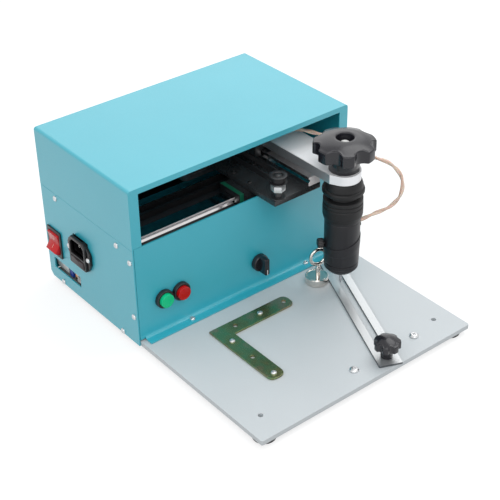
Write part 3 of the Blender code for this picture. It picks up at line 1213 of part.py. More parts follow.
def make_bellows(body):
    """The rubber bellows: a rib under the arm, a valley with a small ridge, and a long cuff on the head."""
    at = place(AXIS_X, AXIS_Y, 0)
    top = ARM_Z - GAP
    rib0, rib1 = BELLOWS_RIB_Z - BELLOWS_RIB_HALF, BELLOWS_RIB_Z + BELLOWS_RIB_HALF
    valley = BELLOWS_VALLEY_Z
    wall = BELLOWS_TOP_R - BELLOWS_BORE_R
    outside = [(BELLOWS_TOP_R, top), (BELLOWS_TOP_R + GAP, BELLOWS_SHOULDER_Z), (BELLOWS_RIB_R, rib1),
               (BELLOWS_RIB_R, rib0), (BELLOWS_VALLEY_R, valley + GAP), (BELLOWS_VALLEY_R, valley - GAP),
               (BELLOWS_RIDGE_R, BELLOWS_RIDGE_Z), (BELLOWS_VALLEY_R + 2 * GAP, BELLOWS_RIDGE_Z - BELLOWS_RIB_HALF),
               (BELLOWS_CUFF_R, BELLOWS_CUFF_Z), (BELLOWS_CUFF_R, BELLOWS_HEM_Z + BELLOWS_HEM_EDGE),
               (BELLOWS_HEM_R, BELLOWS_HEM_Z)]
    inside = [(BELLOWS_CUFF_BORE_R, BELLOWS_HEM_Z), (BELLOWS_CUFF_BORE_R, BELLOWS_SEAT_Z),
              (BELLOWS_BORE_R, BELLOWS_SEAT_Z + GAP), (BELLOWS_BORE_R, valley), (BELLOWS_RIB_R - wall, BELLOWS_RIB_Z),
              (BELLOWS_BORE_R, BELLOWS_SHOULDER_Z), (BELLOWS_BORE_R, top)]
    finish("head_bellows", turned(outside + inside, at), "black_rubber", at, body)


def make_wire(body):
    """The head's wire, a tube on a smooth curve through its route."""
    route = [place(AXIS_X + x, AXIS_Y + y, z) for x, y, z in WIRE_ROUTE]
    points = []
    for index in range(len(route) - 1):
        before, start = route[max(index - 1, 0)], route[index]
        end, after = route[index + 1], route[min(index + 2, len(route) - 1)]
        for step in range(WIRE_STEPS):
            t = step / WIRE_STEPS
            points.append(0.5 * (2 * start + (end - before) * t + (2 * before - 5 * start + 4 * end - after) * t ** 2
                                 + (3 * start - before - 3 * end + after) * t ** 3))
    points.append(route[-1])
    curve = bpy.data.curves.new("head_wire", "CURVE")
    curve.dimensions = "3D"
    curve.bevel_depth = WIRE_D / 2
    curve.bevel_resolution = 2
    curve.use_fill_caps = True
    spline = curve.splines.new("POLY")
    spline.points.add(len(points) - 1)
    origin = place(AXIS_X, AXIS_Y, ARM_TOP)
    for target, point in zip(spline.points, points):
        target.co = (*(point - origin), 1)
    curve.materials.append(material("wire_insulation"))
    obj = bpy.data.objects.new("head_wire", curve)
    obj.location = origin
    bpy.context.scene.collection.objects.link(obj)
    carry(obj, body)


# Work holders on the base plate

def make_clamp():
    """The slotted bar on its stud, the knob that clamps it and the bar under the plate that holds the stud."""
    at = place(STUD_X, STUD_Y, 0)
    low = -DECK_T - GAP - BACKING_T
    half_l, half_w = BACKING_L / 2, BACKING_W / 2
    middle = STUD_X + BACKING_OFFSET
    backing = finish("clamp_backing_bar", block(middle - half_l, middle + half_l, STUD_Y - BACKING_OFFSET,
                                                STUD_Y - BACKING_OFFSET + BACKING_W, low, low + BACKING_T),
                     "bright_steel", place(middle, STUD_Y, low), smooth=False)
    cut(backing, rod(place(STUD_X, STUD_Y, low - OVERRUN), STUD_HOLE_R, BACKING_T + 2 * OVERRUN))
    swing = empty("clamp_swing_axis", at)
    stud_top = BAR_TOP + CLAMP_BORE_DEEP - GAP
    finish("clamp_stud", rod(place(STUD_X, STUD_Y, low), STUD_R, stud_top - low), "bright_steel", at, swing)
    slide = empty("clamp_bar_slide", at, swing)
    turn = Matrix.Translation(at) @ Matrix.Rotation(BAR_ANGLE, 4, "Z")
    outline = rounded_box_outline(-BAR_NEAR, BAR_L - BAR_NEAR, -BAR_W / 2, BAR_W / 2, BAR_CORNER, 2)
    bm = extruded(outline, GAP, BAR_T)
    bmesh.ops.transform(bm, matrix=turn, verts=bm.verts)
    bar = finish("clamp_bar", bm, "bright_steel", at, slide, smooth=False)
    slot_half = BAR_SLOT_W / 2
    slot = rounded_box_outline(-slot_half - GAP, BAR_L - BAR_NEAR - BAR_FAR_WEB, -slot_half, slot_half, slot_half)
    bm = extruded(slot, GAP - OVERRUN, BAR_T + 2 * OVERRUN)
    bmesh.ops.transform(bm, matrix=turn, verts=bm.verts)
    cut(bar, bm)
    knob_axis = empty("clamp_knob_axis", at, swing)
    foot = BAR_TOP + GAP
    loops = star_knob((CLAMP_R, CLAMP_SCALLOP_R, CLAMP_SCALLOP_AT), CLAMP_TURN, (CLAMP_HUB_LOW_R, CLAMP_HUB_R, foot),
                      (foot + CLAMP_LOBE_H, foot + CLAMP_RIM_H, foot + CLAMP_DOME_H))
    bore = STUD_R + BORE_SLACK
    loops.append(ring_loop(0.25 * CLAMP_R, foot + CLAMP_DOME_H))
    knob = stacked_solid(loops, at)
    clamp = finish("clamp_knob", knob, "black_plastic", at, knob_axis)
    cut(clamp, rod(place(STUD_X, STUD_Y, foot - OVERRUN), bore, CLAMP_BORE_DEEP + OVERRUN))


def stacked_solid(loops, centre):
    """A body through loops of points, closed by a flat face at each end."""
    bm = bmesh.new()
    rings = [[bm.verts.new(point) for point in loop] for loop in loops]
    for first, second in zip(rings, rings[1:]):
        join_rings(bm, first, second)
    bm.faces.new(rings[0])
    bm.faces.new(rings[-1])
    bmesh.ops.recalc_face_normals(bm, faces=bm.faces)
    bmesh.ops.translate(bm, vec=centre, verts=bm.verts)
    return bm


def make_bracket():
    """The flat corner bracket against which a nameplate is laid."""
    x0, y0, leg, w, r = BRACKET_X, BRACKET_Y, BRACKET_LEG, BRACKET_W, BRACKET_END_R
    outline = arc(x0 + BRACKET_CORNER, y0 - BRACKET_CORNER, BRACKET_CORNER, 1, 2)
    outline += arc(x0 + r, y0 - leg + r, r, 2, 3) + arc(x0 + w - r, y0 - leg + r, r, 3, 4)
    outline += [(x0 + w, y0 - w)]
    outline += arc(x0 + leg - r, y0 - w + r, r, 3, 4) + arc(x0 + leg - r, y0 - r, r, 0, 1)
    bracket = finish("corner_bracket", extruded(in_plan(outline), Z_DECK + GAP, BRACKET_T), "zinc_chromate",
                     place(x0, y0, 0), smooth=False)
    for number in range(3):
        along = BRACKET_HOLE_FIRST + number * BRACKET_HOLE_PITCH
        for x, y in ((x0 + along, y0 - BRACKET_HOLE_LINE), (x0 + BRACKET_HOLE_LINE, y0 - along)):
            cut(bracket, rod(place(x, y, -OVERRUN), BRACKET_HOLE_R, BRACKET_T + 2 * OVERRUN))


def make_magnet():
    """The round magnet with its lifting eye, which stands loose on the plate."""
    at = place(MAGNET_X, MAGNET_Y, 0)
    body = empty("magnet_slide", at)
    top = GAP + MAGNET_H
    profile = [(0, GAP), (MAGNET_R - MAGNET_EDGE, GAP), (MAGNET_R, GAP + MAGNET_EDGE), (MAGNET_R, top - MAGNET_EDGE),
               (MAGNET_R - MAGNET_EDGE, top), (0, top)]
    finish("magnet_pot", turned(profile, at), "nickel", at, body)
    ring = bmesh.new()
    along = ROUND
    rings = []
    for step in range(along):
        angle = math.tau * step / along
        circle = []
        for part in range(TINY_ROUND):
            turn = math.tau * part / TINY_ROUND
            reach = EYE_R + EYE_WIRE_R * math.cos(turn)
            circle.append(ring.verts.new((reach * math.cos(angle), EYE_WIRE_R * math.sin(turn),
                                          reach * math.sin(angle))))
        rings.append(circle)
    for first, second in zip(rings, rings[1:] + rings[:1]):
        join_rings(ring, first, second)
    bmesh.ops.recalc_face_normals(ring, faces=ring.faces)
    spin = Matrix.Translation(place(MAGNET_X, MAGNET_Y, EYE_Z)) @ Matrix.Rotation(-EYE_TURN, 4, "Z")
    bmesh.ops.transform(ring, matrix=spin, verts=ring.verts)
    eye = finish("magnet_eye", ring, "nickel", at, body)
    foot = top + GAP
    profile = [(0, foot), (EYE_COLLAR_R, foot), (EYE_COLLAR_R, foot + EYE_COLLAR_T), (EYE_SHANK_R, foot + EYE_COLLAR_T),
               (EYE_SHANK_R, EYE_Z - EYE_R), (0, EYE_Z - EYE_R)]
    join(eye, turned(profile, at, sides=SMALL_ROUND))


def main():
    clear_scene()
    make_deck()
    make_sides()
    make_rear_panel()
    make_front_panel()
    make_cover()
    make_inlet()
    make_switch()
    make_electronics()
    make_button("green", "green_lens", BUTTON_X)
    make_button("red", "red_lens", BUTTON_X + BUTTON_PITCH)
    make_speed_control()
    make_x_axis()
    x_carriage = empty("x_carriage", place(X_BLOCK_X, X_RAIL_Y, X_RAIL_Z))
    make_x_carriage(x_carriage)
    arm_carriage = empty("arm_carriage", place(Y_PLATE_X1 - RAIL_W / 2, Y_BLOCK_Y, Y_RAIL_Z), x_carriage)
    make_arm(arm_carriage)
    make_head_knob(arm_carriage)
    make_bellows(arm_carriage)
    make_wire(arm_carriage)
    head = empty("head_slide", place(AXIS_X, AXIS_Y, ARM_Z), arm_carriage)
    make_head(head)
    make_clamp()
    make_bracket()
    make_magnet()


main()
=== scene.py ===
"""Looks of the nameplate marking machine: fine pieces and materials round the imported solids.

Lengths are in millimetres, measured from the housing as the solids are: x from the outer face of its left
side, y from the outer face of its front panel towards the back, z from the top of the base plate.
"""
import math

import bmesh
import bpy
import numpy as np
from mathutils import Matrix, Vector
from mathutils.geometry import tessellate_polygon


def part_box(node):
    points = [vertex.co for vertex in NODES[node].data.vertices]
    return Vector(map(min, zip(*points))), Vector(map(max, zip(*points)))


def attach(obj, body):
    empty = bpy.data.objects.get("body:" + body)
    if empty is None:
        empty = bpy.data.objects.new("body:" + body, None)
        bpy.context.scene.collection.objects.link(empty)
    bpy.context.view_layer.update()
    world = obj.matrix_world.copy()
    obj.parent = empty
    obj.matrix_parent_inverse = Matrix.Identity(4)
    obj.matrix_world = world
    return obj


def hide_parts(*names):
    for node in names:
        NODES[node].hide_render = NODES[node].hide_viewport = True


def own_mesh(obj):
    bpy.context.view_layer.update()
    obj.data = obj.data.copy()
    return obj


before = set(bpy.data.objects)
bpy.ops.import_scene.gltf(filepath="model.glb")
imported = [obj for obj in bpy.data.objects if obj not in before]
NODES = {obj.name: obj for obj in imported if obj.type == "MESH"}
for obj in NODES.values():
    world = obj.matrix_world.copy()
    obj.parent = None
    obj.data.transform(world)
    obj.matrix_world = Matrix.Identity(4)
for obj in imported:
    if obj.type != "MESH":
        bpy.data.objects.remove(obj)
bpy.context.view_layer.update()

MM = 0.001
CORNER = Vector((*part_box("top_cover")[0].xy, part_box("base_plate")[1].z))
X, Y, Z = Vector((1, 0, 0)), Vector((0, 1, 0)), Vector((0, 0, 1))

# Sizes that the solids have
HOUSING_W = 270
AXIS_X, AXIS_Y = 212.9, -57.5
HEAD = (AXIS_X, AXIS_Y, 0)
ARM_Z, ARM_TOP = 131.3, 141.3
PLATE_LOW, PLATE_TOP = 108.7, 114.7
Y_BELT_X, Y_IDLER_Y, Y_MOTOR_Y, Y_BELT_Z = 157.2, -24, 125, 133.8
X_MOTOR_X, X_IDLER_X, X_BELT_Y, X_BELT_Z = 27.5, 246, 58, 97.5
BELT_R, BELT_WIDE, PULLEY_TEETH = 6.37, 6, 20
STUD_X, STUD_Y, STUD_LOW = 167.4, -172.6, -8.3
BAR_TURN = math.radians(66.5)
MAGNET_X, MAGNET_Y = 201, -34
INLET_Y, INLET_Z = 95.5, 58.2
SWITCH_Y, SWITCH_Z = 146.6, 44.5
BOARD_LOW, BOARD_TOP = 7, 8.6


def at(x, y, z):
    """A housing place, in the frame's metres."""
    return CORNER + Vector((x, y, z)) * MM


def show(name, data):
    obj = bpy.data.objects.new(name, data)
    bpy.context.scene.collection.objects.link(obj)
    return obj


# Camera, at the photograph's place

CAMERA_AT = (-0.6301, -0.7926, 0.7435)
CAMERA_AXES = ((0.77707417, -0.6292672, -0.01336125), (0.35766529, 0.42400965, 0.83204048),
               (-0.51791048, -0.65133602, 0.55455399))
LENS, SHIFT_X, SHIFT_Y = 87.514, -0.00134, 0.00066


def make_camera():
    data = bpy.data.cameras.new("camera")
    data.sensor_width = 36
    data.lens = LENS
    data.shift_x = SHIFT_X
    data.shift_y = SHIFT_Y
    data.clip_end = 50
    camera = show("camera", data)
    turn = Matrix(CAMERA_AXES).transposed().to_4x4()
    camera.matrix_world = Matrix.Translation(CAMERA_AT) @ turn
    bpy.context.scene.camera = camera


make_camera()


# Materials

class Tree:
    """A node tree, with short calls to make and join its nodes."""

    def __init__(self, owner):
        owner.use_nodes = True
        self.tree = owner.node_tree

    def join(self, value, socket):
        """Links an output, or sets a plain value."""
        if isinstance(value, bpy.types.NodeSocket):
            self.tree.links.new(value, socket)
        else:
            socket.default_value = value

    def add(self, kind, out=0, settings=(), **inputs):
        """A new node's output. An input goes by its name, with _ for a space, or by i and its number."""
        node = self.tree.nodes.new("ShaderNode" + kind)
        for key, value in dict(settings).items():
            setattr(node, key, value)
        for key, value in inputs.items():
            self.join(value, node.inputs[int(key[1:]) if key[1:].isdigit() else key.replace("_", " ")])
        return node.outputs[out] if node.outputs else None

    def math(self, kind, a, b=0.0):
        return self.add("Math", settings={"operation": kind}, i0=a, i1=b)


class Finish(Tree):
    """A material, whose noises lie in the object's own place."""

    def __init__(self, name):
        self.material = bpy.data.materials.new(name)
        super().__init__(self.material)
        self.place = self.add("TexCoord", "Object")

    def stretch(self, scale, turn=0.0):
        return self.add("Mapping", Vector=self.place, Scale=scale, Rotation=(0, 0, turn))

    def noise(self, scale, detail=3.0, where=None, rough=0.5):
        return self.add("TexNoise", Vector=where or self.place, Scale=scale, Detail=detail, Roughness=rough)

    def spread(self, value, low, high):
        """Maps a noise to a range of values."""
        return self.add("MapRange", Value=value, From_Min=0.3, From_Max=0.7, To_Min=low, To_Max=high)

    def ramp(self, value, *stops):
        node = self.tree.nodes.new("ShaderNodeValToRGB")
        self.join(value, node.inputs[0])
        places = node.color_ramp.elements
        while len(places) < len(stops):
            places.new(0.5)
        for element, (position, colour) in zip(places, stops):
            element.position = position
            element.color = (*colour, 1)
        return node.outputs[0]

    def mix(self, share, *colours):
        first, second = (c if isinstance(c, bpy.types.NodeSocket) else (*c, 1) for c in colours)
        return self.add("Mix", 2, {"data_type": "RGBA"}, i0=share, i6=first, i7=second)

    def bump(self, height, strength, distance):
        return self.add("Bump", Strength=strength, Distance=distance, Height=height)

    def set(self, **inputs):
        for key, value in inputs.items():
            self.join(value, self.tree.nodes["Principled BSDF"].inputs[key.replace("_", " ")])
        return self.material


def plain(name, colour, rough, metal, mottle, spread, grain, bump, depth=0.0001, stretch=(1, 1, 1), turn=0.0,
          rough_spread=0.06, **more):
    """A surface with a soft variation of colour, a fine grain and uneven gloss.

    Stretch draws the grain out.
    """
    n = Finish(name)
    dark, light = (tuple(min(1, part * (1 + side * spread)) for part in colour) for side in (-1, 1))
    broad = n.noise(mottle, 4, rough=0.6)
    fine = n.noise(grain, 2, n.stretch(stretch, turn))
    uneven = n.math("ADD", n.math("MULTIPLY", fine, 0.5), n.math("MULTIPLY", broad, 0.5))
    return n.set(Base_Color=n.mix(n.spread(broad, 0, 1), dark, light), Metallic=metal,
                 Roughness=n.spread(uneven, max(0.02, rough - rough_spread), min(1, rough + rough_spread)),
                 Normal=n.bump(fine, bump, depth), **more)


def paint():
    """Turquoise powder coat with a fine orange peel."""
    n = Finish("turquoise_paint")
    broad = n.noise(9, 4, rough=0.6)
    orange_peel = n.noise(900, 3)
    return n.set(Base_Color=n.mix(n.spread(broad, 0, 1), (0.020, 0.435, 0.545), (0.026, 0.460, 0.575)),
                 Roughness=n.spread(orange_peel, 0.36, 0.48), IOR=1.75,
                 Normal=n.bump(orange_peel, 0.12, 0.00008), Coat_Weight=0.6, Coat_Roughness=0.35)


def chromate():
    """Yellow chromated zinc: olive and green, with rosy and brown patches."""
    n = Finish("zinc_chromate")
    fine = n.noise(900, 2, n.stretch((1, 6, 1), 0.4))
    colours = n.ramp(n.noise(30, 3, rough=0.55), (0.34, (0.17, 0.16, 0.08)), (0.44, (0.22, 0.26, 0.12)),
                     (0.52, (0.16, 0.29, 0.15)), (0.60, (0.33, 0.28, 0.17)), (0.70, (0.40, 0.27, 0.21)))
    return n.set(Base_Color=colours, Metallic=0.8, Roughness=n.spread(fine, 0.18, 0.28),
                 Normal=n.bump(fine, 0.06, 0.00005))


def rail_steel(name, stretch, worn, lowest):
    """Ground steel, whose faces to the front are rough above a height in metres, and pale there as painted
    light.
    """
    n = Finish(name)
    fine = n.noise(900, 2, n.stretch(stretch))
    dot = {"operation": "DOT_PRODUCT"}
    facing = n.add("VectorMath", 1, dot, i0=n.add("NewGeometry", "True Normal"), i1=Y)
    height = n.add("VectorMath", 1, dot, i0=n.add("NewGeometry", "Position"), i1=Z)
    # Faces to the front and back, above the height, get a pale colour that is painted light.
    pale_lit_faces = n.math("MULTIPLY", n.math("GREATER_THAN", n.math("ABSOLUTE", facing), 0.9),
                  n.math("GREATER_THAN", height, lowest))
    ground = n.mix(n.spread(n.noise(30, 3), 0, 1), (0.66, 0.64, 0.64), (0.74, 0.72, 0.72))
    pale = n.mix(n.spread(n.noise(700, 2), 0, 1), (0.84, 0.78, 0.78), (0.95, 0.91, 0.90))
    rough = n.math("MAXIMUM", n.spread(fine, *worn), n.math("MULTIPLY", pale_lit_faces, 0.55))
    return n.set(Base_Color=n.mix(pale_lit_faces, ground, pale), Roughness=rough,
                 Metallic=n.math("SUBTRACT", 1.0, pale_lit_faces), Normal=n.bump(fine, 0.05, 0.00005))


BRUSHED = {"depth": 0.00008, "stretch": (10, 1, 10)}
WIRE_SKIN = {"Coat_Weight": 0.6, "Subsurface_Weight": 0.25, "Subsurface_Scale": 0.001}

# Each finish: its name, colour, roughness, metallic, mottle's scale and spread, grain's scale and bump,
# and the rest by name
FINISHES = {
    "deck": ("grey_plate", (0.60, 0.64, 0.66), 0.42, 0, 14, 0.015, 2600, 0.10,
             {"depth": 0.00006, "rough_spread": 0.05}),
    "rubber": ("black_rubber", (0.010, 0.010, 0.011), 0.46, 0, 60, 0.25, 1800, 0.16,
               {"rough_spread": 0.08, "IOR": 1.38}),
    "gloss": ("inlet_plastic", (0.009, 0.008, 0.009), 0.24, 0, 80, 0.15, 2400, 0.05,
              {"rough_spread": 0.05, "IOR": 1.4}),
    "knob": ("knob_plastic", (0.013, 0.013, 0.018), 0.22, 0, 60, 0.12, 2200, 0.05,
             {"depth": 0.00005, "rough_spread": 0.04, "IOR": 1.5}),
    "moulded": ("moulded_black", (0.014, 0.014, 0.016), 0.36, 0, 80, 0.15, 2600, 0.14,
                {"rough_spread": 0.05}),
    "body": ("black_anodised", (0.013, 0.013, 0.016), 0.38, 0, 40, 0.12, 1400, 0.06,
             {"stretch": (1, 1, 9), "rough_spread": 0.05, "IOR": 1.42}),
    "dark_steel": ("black_metal", (0.040, 0.038, 0.039), 0.34, 0.55, 22, 0.22, 900, 0.05,
                   {"rough_spread": 0.08}),
    "red": ("red_plastic", (0.60, 0.010, 0.014), 0.24, 0, 60, 0.08, 1500, 0.02, {"IOR": 1.42}),
    "green_lens": ("green_lens", (0.004, 0.58, 0.25), 0.24, 0, 60, 0.06, 900, 0.03, {"IOR": 1.36}),
    "red_lens": ("red_lens", (0.52, 0.006, 0.006), 0.24, 0, 60, 0.06, 900, 0.03, {"IOR": 1.36}),
    "green_cap": ("green_end_cap", (0.010, 0.155, 0.085), 0.40, 0, 60, 0.1, 1700, 0.1, {}),
    "aluminium": ("arm_aluminium", (0.76, 0.77, 0.79), 0.34, 0.85, 16, 0.03, 1300, 0.10, BRUSHED),
    # The arm's top: a satin finish, made paler than the metal walls as painted light.
    "satin": ("arm_satin", (0.93, 0.93, 0.94), 0.40, 0, 16, 0.03, 1300, 0.10, BRUSHED),
    "bright": ("bright_steel", (0.60, 0.62, 0.63), 0.34, 0.7, 30, 0.04, 1200, 0.04,
               {"depth": 0.00005, "stretch": (2, 14, 14), "turn": -BAR_TURN}),
    # The slotted bar's walls: cut edges, dark as painted shade.
    "cut": ("cut_edge", (0.11, 0.12, 0.13), 0.40, 0.6, 120, 0.2, 900, 0.08, {}),
    "screw": ("screw_steel", (0.66, 0.67, 0.68), 0.30, 1.0, 300, 0.10, 2500, 0.05, {}),
    "zinc": ("zinc_screw", (0.62, 0.61, 0.58), 0.26, 0.9, 200, 0.1, 1500, 0.08, {}),
    "nickel": ("nickel", (0.70, 0.67, 0.63), 0.10, 1.0, 60, 0.05, 1800, 0.03,
               {"depth": 0.00004, "rough_spread": 0.04}),
    "tin": ("tin_plate", (0.66, 0.65, 0.63), 0.34, 0.3, 120, 0.2, 900, 0.08, {}),
    "shield": ("tin_shield", (0.36, 0.37, 0.39), 0.36, 0.7, 120, 0.2, 900, 0.08, {}),
    "copper": ("copper_winding", (0.62, 0.30, 0.15), 0.32, 1.0, 60, 0.1, 300, 0.3, {"stretch": (1, 1, 12)}),
    "board": ("board_green", (0.012, 0.10, 0.045), 0.35, 0, 120, 0.4, 700, 0.2, {"Coat_Weight": 0.3}),
    "blue": ("blue_plastic", (0.012, 0.05, 0.33), 0.38, 0, 60, 0.1, 1500, 0.08, {}),
    "white": ("white_marks", (0.80, 0.80, 0.78), 0.45, 0, 200, 0.05, 2500, 0.05, {}),
    "mark": ("pale_marks", (0.86, 0.66, 0.56), 0.45, 0, 200, 0.05, 2500, 0.05, {}),
    "wire": ("wire_insulation", (0.80, 0.62, 0.50), 0.26, 0, 90, 0.16, 700, 0.12, WIRE_SKIN),
    "wire_b": ("wire_copper", (0.76, 0.52, 0.41), 0.28, 0, 90, 0.18, 700, 0.12, WIRE_SKIN),
    "shelf": ("shelf_black", (0.034, 0.036, 0.041), 0.55, 0, 40, 0.15, 900, 0.06, {}),
    "plate": ("plate_black", (0.030, 0.032, 0.034), 0.30, 0, 26, 0.3, 900, 0.06, {"rough_spread": 0.10}),
    "drawer": ("drawer_plastic", (0.030, 0.020, 0.023), 0.42, 0, 60, 0.12, 1600, 0.08, {"IOR": 1.4}),
    # Near black, for painted shade in holes and behind openings.
    "grime": ("dark_recess", (0.006, 0.006, 0.007), 0.7, 0, 90, 0.3, 1500, 0.2, {}),
}
MAT = {look: plain(*values, **more) for look, (*values, more) in FINISHES.items()}
MAT["paint"] = paint()
MAT["chromate"] = chromate()
MAT["rail_x"] = rail_steel("rail_steel_x", (1, 12, 12), (0.10, 0.16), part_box("x_rail")[1].z - 5.2 * MM)
MAT["rail_y"] = rail_steel("rail_steel_y", (12, 1, 12), (0.12, 0.20), 0.0)


# Meshes

def mesh_of(name, bm):
    bmesh.ops.recalc_face_normals(bm, faces=bm.faces)
    mesh = bpy.data.meshes.new(name)
    bm.to_mesh(mesh)
    bm.free()
    return mesh


def make(name, bm, look, replaces=None, slot=None, body="machine", smooth=35):
    """Makes a mesh a piece that rides on a body and may stand for a CAD node."""
    mesh = mesh_of(name, bm)
    for part in [look] if isinstance(look, str) else look:
        mesh.materials.append(MAT[part])
    mesh.shade_smooth()
    mesh.set_sharp_from_angle(angle=math.radians(smooth))
    obj = show(name, mesh)
    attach(obj, body)
    if replaces:
        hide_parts(replaces)
    return obj


def fillet(points, radius=0, steps=5, closed=False):
    """Rounds the corners of a line of points. A third value of a point is its own radius."""
    made = []
    for index, point in enumerate(points):
        own = point[2] if len(point) > 2 else radius
        here = Vector(point[:2])
        one = Vector(points[index - 1][:2]) - here
        two = Vector(points[(index + 1) % len(points)][:2]) - here
        sharp = own <= 0 or not closed and index in (0, len(points) - 1)
        if sharp or min(one.length, two.length) < 1e-6 or one.angle(two) > math.radians(178):
            made.append(tuple(here))
            continue
        reach = min(own / math.tan(one.angle(two) / 2), one.length * 0.49, two.length * 0.49)
        start, end = here + one.normalized() * reach, here + two.normalized() * reach
        for step in range(steps + 1):
            t = step / steps
            made.append(tuple((1 - t) ** 2 * start + 2 * t * (1 - t) * here + t * t * end))
    return made


def skin(bm, rings, material=0, closed=False):
    """Faces between each ring and the next. A ring may be one point."""
    for first, second in zip(rings, [*rings[1:], rings[0]] if closed else rings[1:]):
        for step in range(max(len(first), len(second))):
            after = step + 1
            corners = [first[step % len(first)], first[after % len(first)],
                       second[after % len(second)], second[step % len(second)]]
            kept = list(dict.fromkeys(corners))
            if len(kept) > 2:
                bm.faces.new(kept).material_index = material


def turned(profile, place=HEAD, axis=Z, sides=96, closed=True, bm=None, material=0, wave=None, steps=3):
    """A body of revolution: (radius, height) points turned about an axis through a place.

    A point's third value rounds it. Wave, if there is one, is a function of the angle, the height and the
    radius that gives a change of radius.
    """
    bm = bm or bmesh.new()
    turn = Z.rotation_difference(Vector(axis)).to_matrix()
    middle = at(*place)
    rings = []
    for radius, height in fillet(profile, 0, steps, closed):
        ring = []
        for step in range(sides if radius > 1e-6 else 1):
            angle = math.tau * step / sides
            r = radius + (wave(angle, height, radius) if wave else 0)
            point = Vector((r * math.cos(angle), r * math.sin(angle), height))
            ring.append(bm.verts.new(middle + turn @ point * MM))
        rings.append(ring)
    skin(bm, rings, material, closed)
    return bm


def lathe(name, profile, look, replaces=None, slot=None, body="machine", place=HEAD, axis=Z, sides=64,
          closed=False, wave=None, steps=3):
    """A turned piece."""
    bm = turned(profile, place, axis, sides, closed, wave=wave, steps=steps)
    return make(name, bm, look, replaces, slot, body)


def circle(x, y, radius, sides=28, start=0.0):
    angles = [start + math.tau * step / sides for step in range(sides)]
    return [(x + radius * math.cos(angle), y + radius * math.sin(angle)) for angle in angles]


def span(a0, a1, b0, b1, radius=0.0, steps=3):
    """A rectangle between two places each way."""
    return fillet([(a0, b0), (a1, b0), (a1, b1), (a0, b1)], radius, steps, True)


def rect(a, b, half_a, half_b, radius=0.0, steps=3):
    """A rectangle about its middle."""
    return span(a - half_a, a + half_a, b - half_b, b + half_b, radius, steps)


def mirrored(a, b, half):
    """An outline about a middle, from the points of its half on the higher side of a."""
    return [(a + out, b + up) for out, up in half] + [(a - out, b + up) for out, up in half[::-1]]


def twice_area(points):
    return sum(a[0] * b[1] - b[0] * a[1] for a, b in zip(points, points[1:] + points[:1]))


def moved_in(points, distance):
    """A closed outline moved to its left, with mitred corners."""
    made = []
    for index, here in enumerate(points):
        here = Vector(here[:2])
        one = (here - Vector(points[index - 1][:2])).normalized()
        two = (Vector(points[(index + 1) % len(points)][:2]) - here).normalized()
        left = Vector((-one.y, one.x))
        across = (left + Vector((-two.y, two.x))).normalized()
        made.append(tuple(here + across * distance / max(across.dot(left), 0.35)))
    return made


ORDERS = {"X": lambda a, b, c: (c, a, b), "Y": lambda a, b, c: (a, c, b), "Z": lambda a, b, c: (a, b, c)}


def slab(outlines, low, high, axis="Z", edge=0.3, bm=None, material=0, faces=None):
    """A flat piece with soft edges, run along an axis between two places: an outer outline, then its holes.

    An outline's points are the two places that the axis isn't. The two flat faces may have a material of
    their own.
    """
    bm = bm or bmesh.new()
    levels = [(low, edge), (low + 0.3 * edge, 0.3 * edge), (low + edge, 0),
              (high - edge, 0), (high - 0.3 * edge, 0.3 * edge), (high, edge)]
    caps = ([], [])
    flat = []
    for number, outline in enumerate(outlines):
        if (twice_area(outline) > 0) == (number > 0):
            outline = outline[::-1]
        rings = []
        for place, inward in levels:
            rings.append([bm.verts.new(at(*ORDERS[axis](a, b, place))) for a, b in moved_in(outline, inward)])
        skin(bm, rings, material)
        flat.append([Vector((a, b, 0)) for a, b in moved_in(outline, edge)])
        caps[0].extend(rings[0])
        caps[1].extend(rings[-1])
    for triangle in tessellate_polygon(flat):
        for verts in caps:
            face = bm.faces.new([verts[corner] for corner in triangle])
            face.material_index = material if faces is None else faces
    return bm


def frames(points):
    """Each point of a line, with two directions across it that don't twist."""
    across = None
    for index, point in enumerate(points):
        ahead = (points[min(index + 1, len(points) - 1)] - points[max(index - 1, 0)]).normalized()
        if across is None:
            across = ahead.cross(Z if abs(ahead.z) < 0.9 else X).normalized()
        across = (across - ahead * across.dot(ahead)).normalized()
        yield point, across, ahead.cross(across)


def sweep(points, radius, sides, bm=None, material=0):
    """A tube with closed ends along points of the frame, in metres."""
    bm = bm or bmesh.new()
    rings = []
    for point, across, beside in frames(points):
        around = circle(0, 0, radius * MM, sides)
        rings.append([bm.verts.new(point + across * a + beside * b) for a, b in around])
    skin(bm, rings, material)
    for ring in (rings[0], rings[-1]):
        bm.faces.new(ring).material_index = material
    return bm


def spline(route, steps):
    """A smooth line through the route's points."""
    points = []
    for index in range(len(route) - 1):
        before, start = route[max(index - 1, 0)], route[index]
        end, after = route[index + 1], route[min(index + 2, len(route) - 1)]
        for step in range(steps):
            t = step / steps
            points.append(0.5 * (2 * start + (end - before) * t
                                 + (2 * before - 5 * start + 4 * end - after) * t ** 2
                                 + (3 * start - before - 3 * end + after) * t ** 3))
    return points + [route[-1]]


# Screws: a domed head with a cross in it, and the same for every place

def cross_head(height):
    """A pan head's mesh, of radius 1 and from 0 up to its height, with a cross cut into it."""
    bm = bmesh.new()
    rings = []
    for radius, z in fillet([(0, height), (0.62, height * 0.97), (1, height * 0.55), (1, 0)], 0.3):
        rings.append([bm.verts.new((*spot, z)) for spot in circle(0, 0, radius, 32 if radius else 1)])
    skin(bm, rings)
    bm.faces.new(rings[-1])
    whole = show("whole", mesh_of("head", bm))
    bm = bmesh.new()
    for order in (1, -1):
        rings = []
        for z, share in ((height * 0.45, 0.45), (height * 1.2, 1.0)):
            halves = (0.52 * share, 0.13)[::order]
            rings.append([bm.verts.new((*spot, z)) for spot in rect(0, 0, *halves)])
            bm.faces.new(rings[-1])
        skin(bm, rings)
    tool = show("cross", mesh_of("cross", bm))
    cut = whole.modifiers.new("cut", "BOOLEAN")
    cut.object = tool
    cut.use_self = True
    bpy.context.view_layer.update()
    mesh = bpy.data.meshes.new_from_object(whole.evaluated_get(bpy.context.evaluated_depsgraph_get()))
    for obj in (tool, whole):
        bpy.data.objects.remove(obj)
    return mesh


PAN = cross_head(0.62)


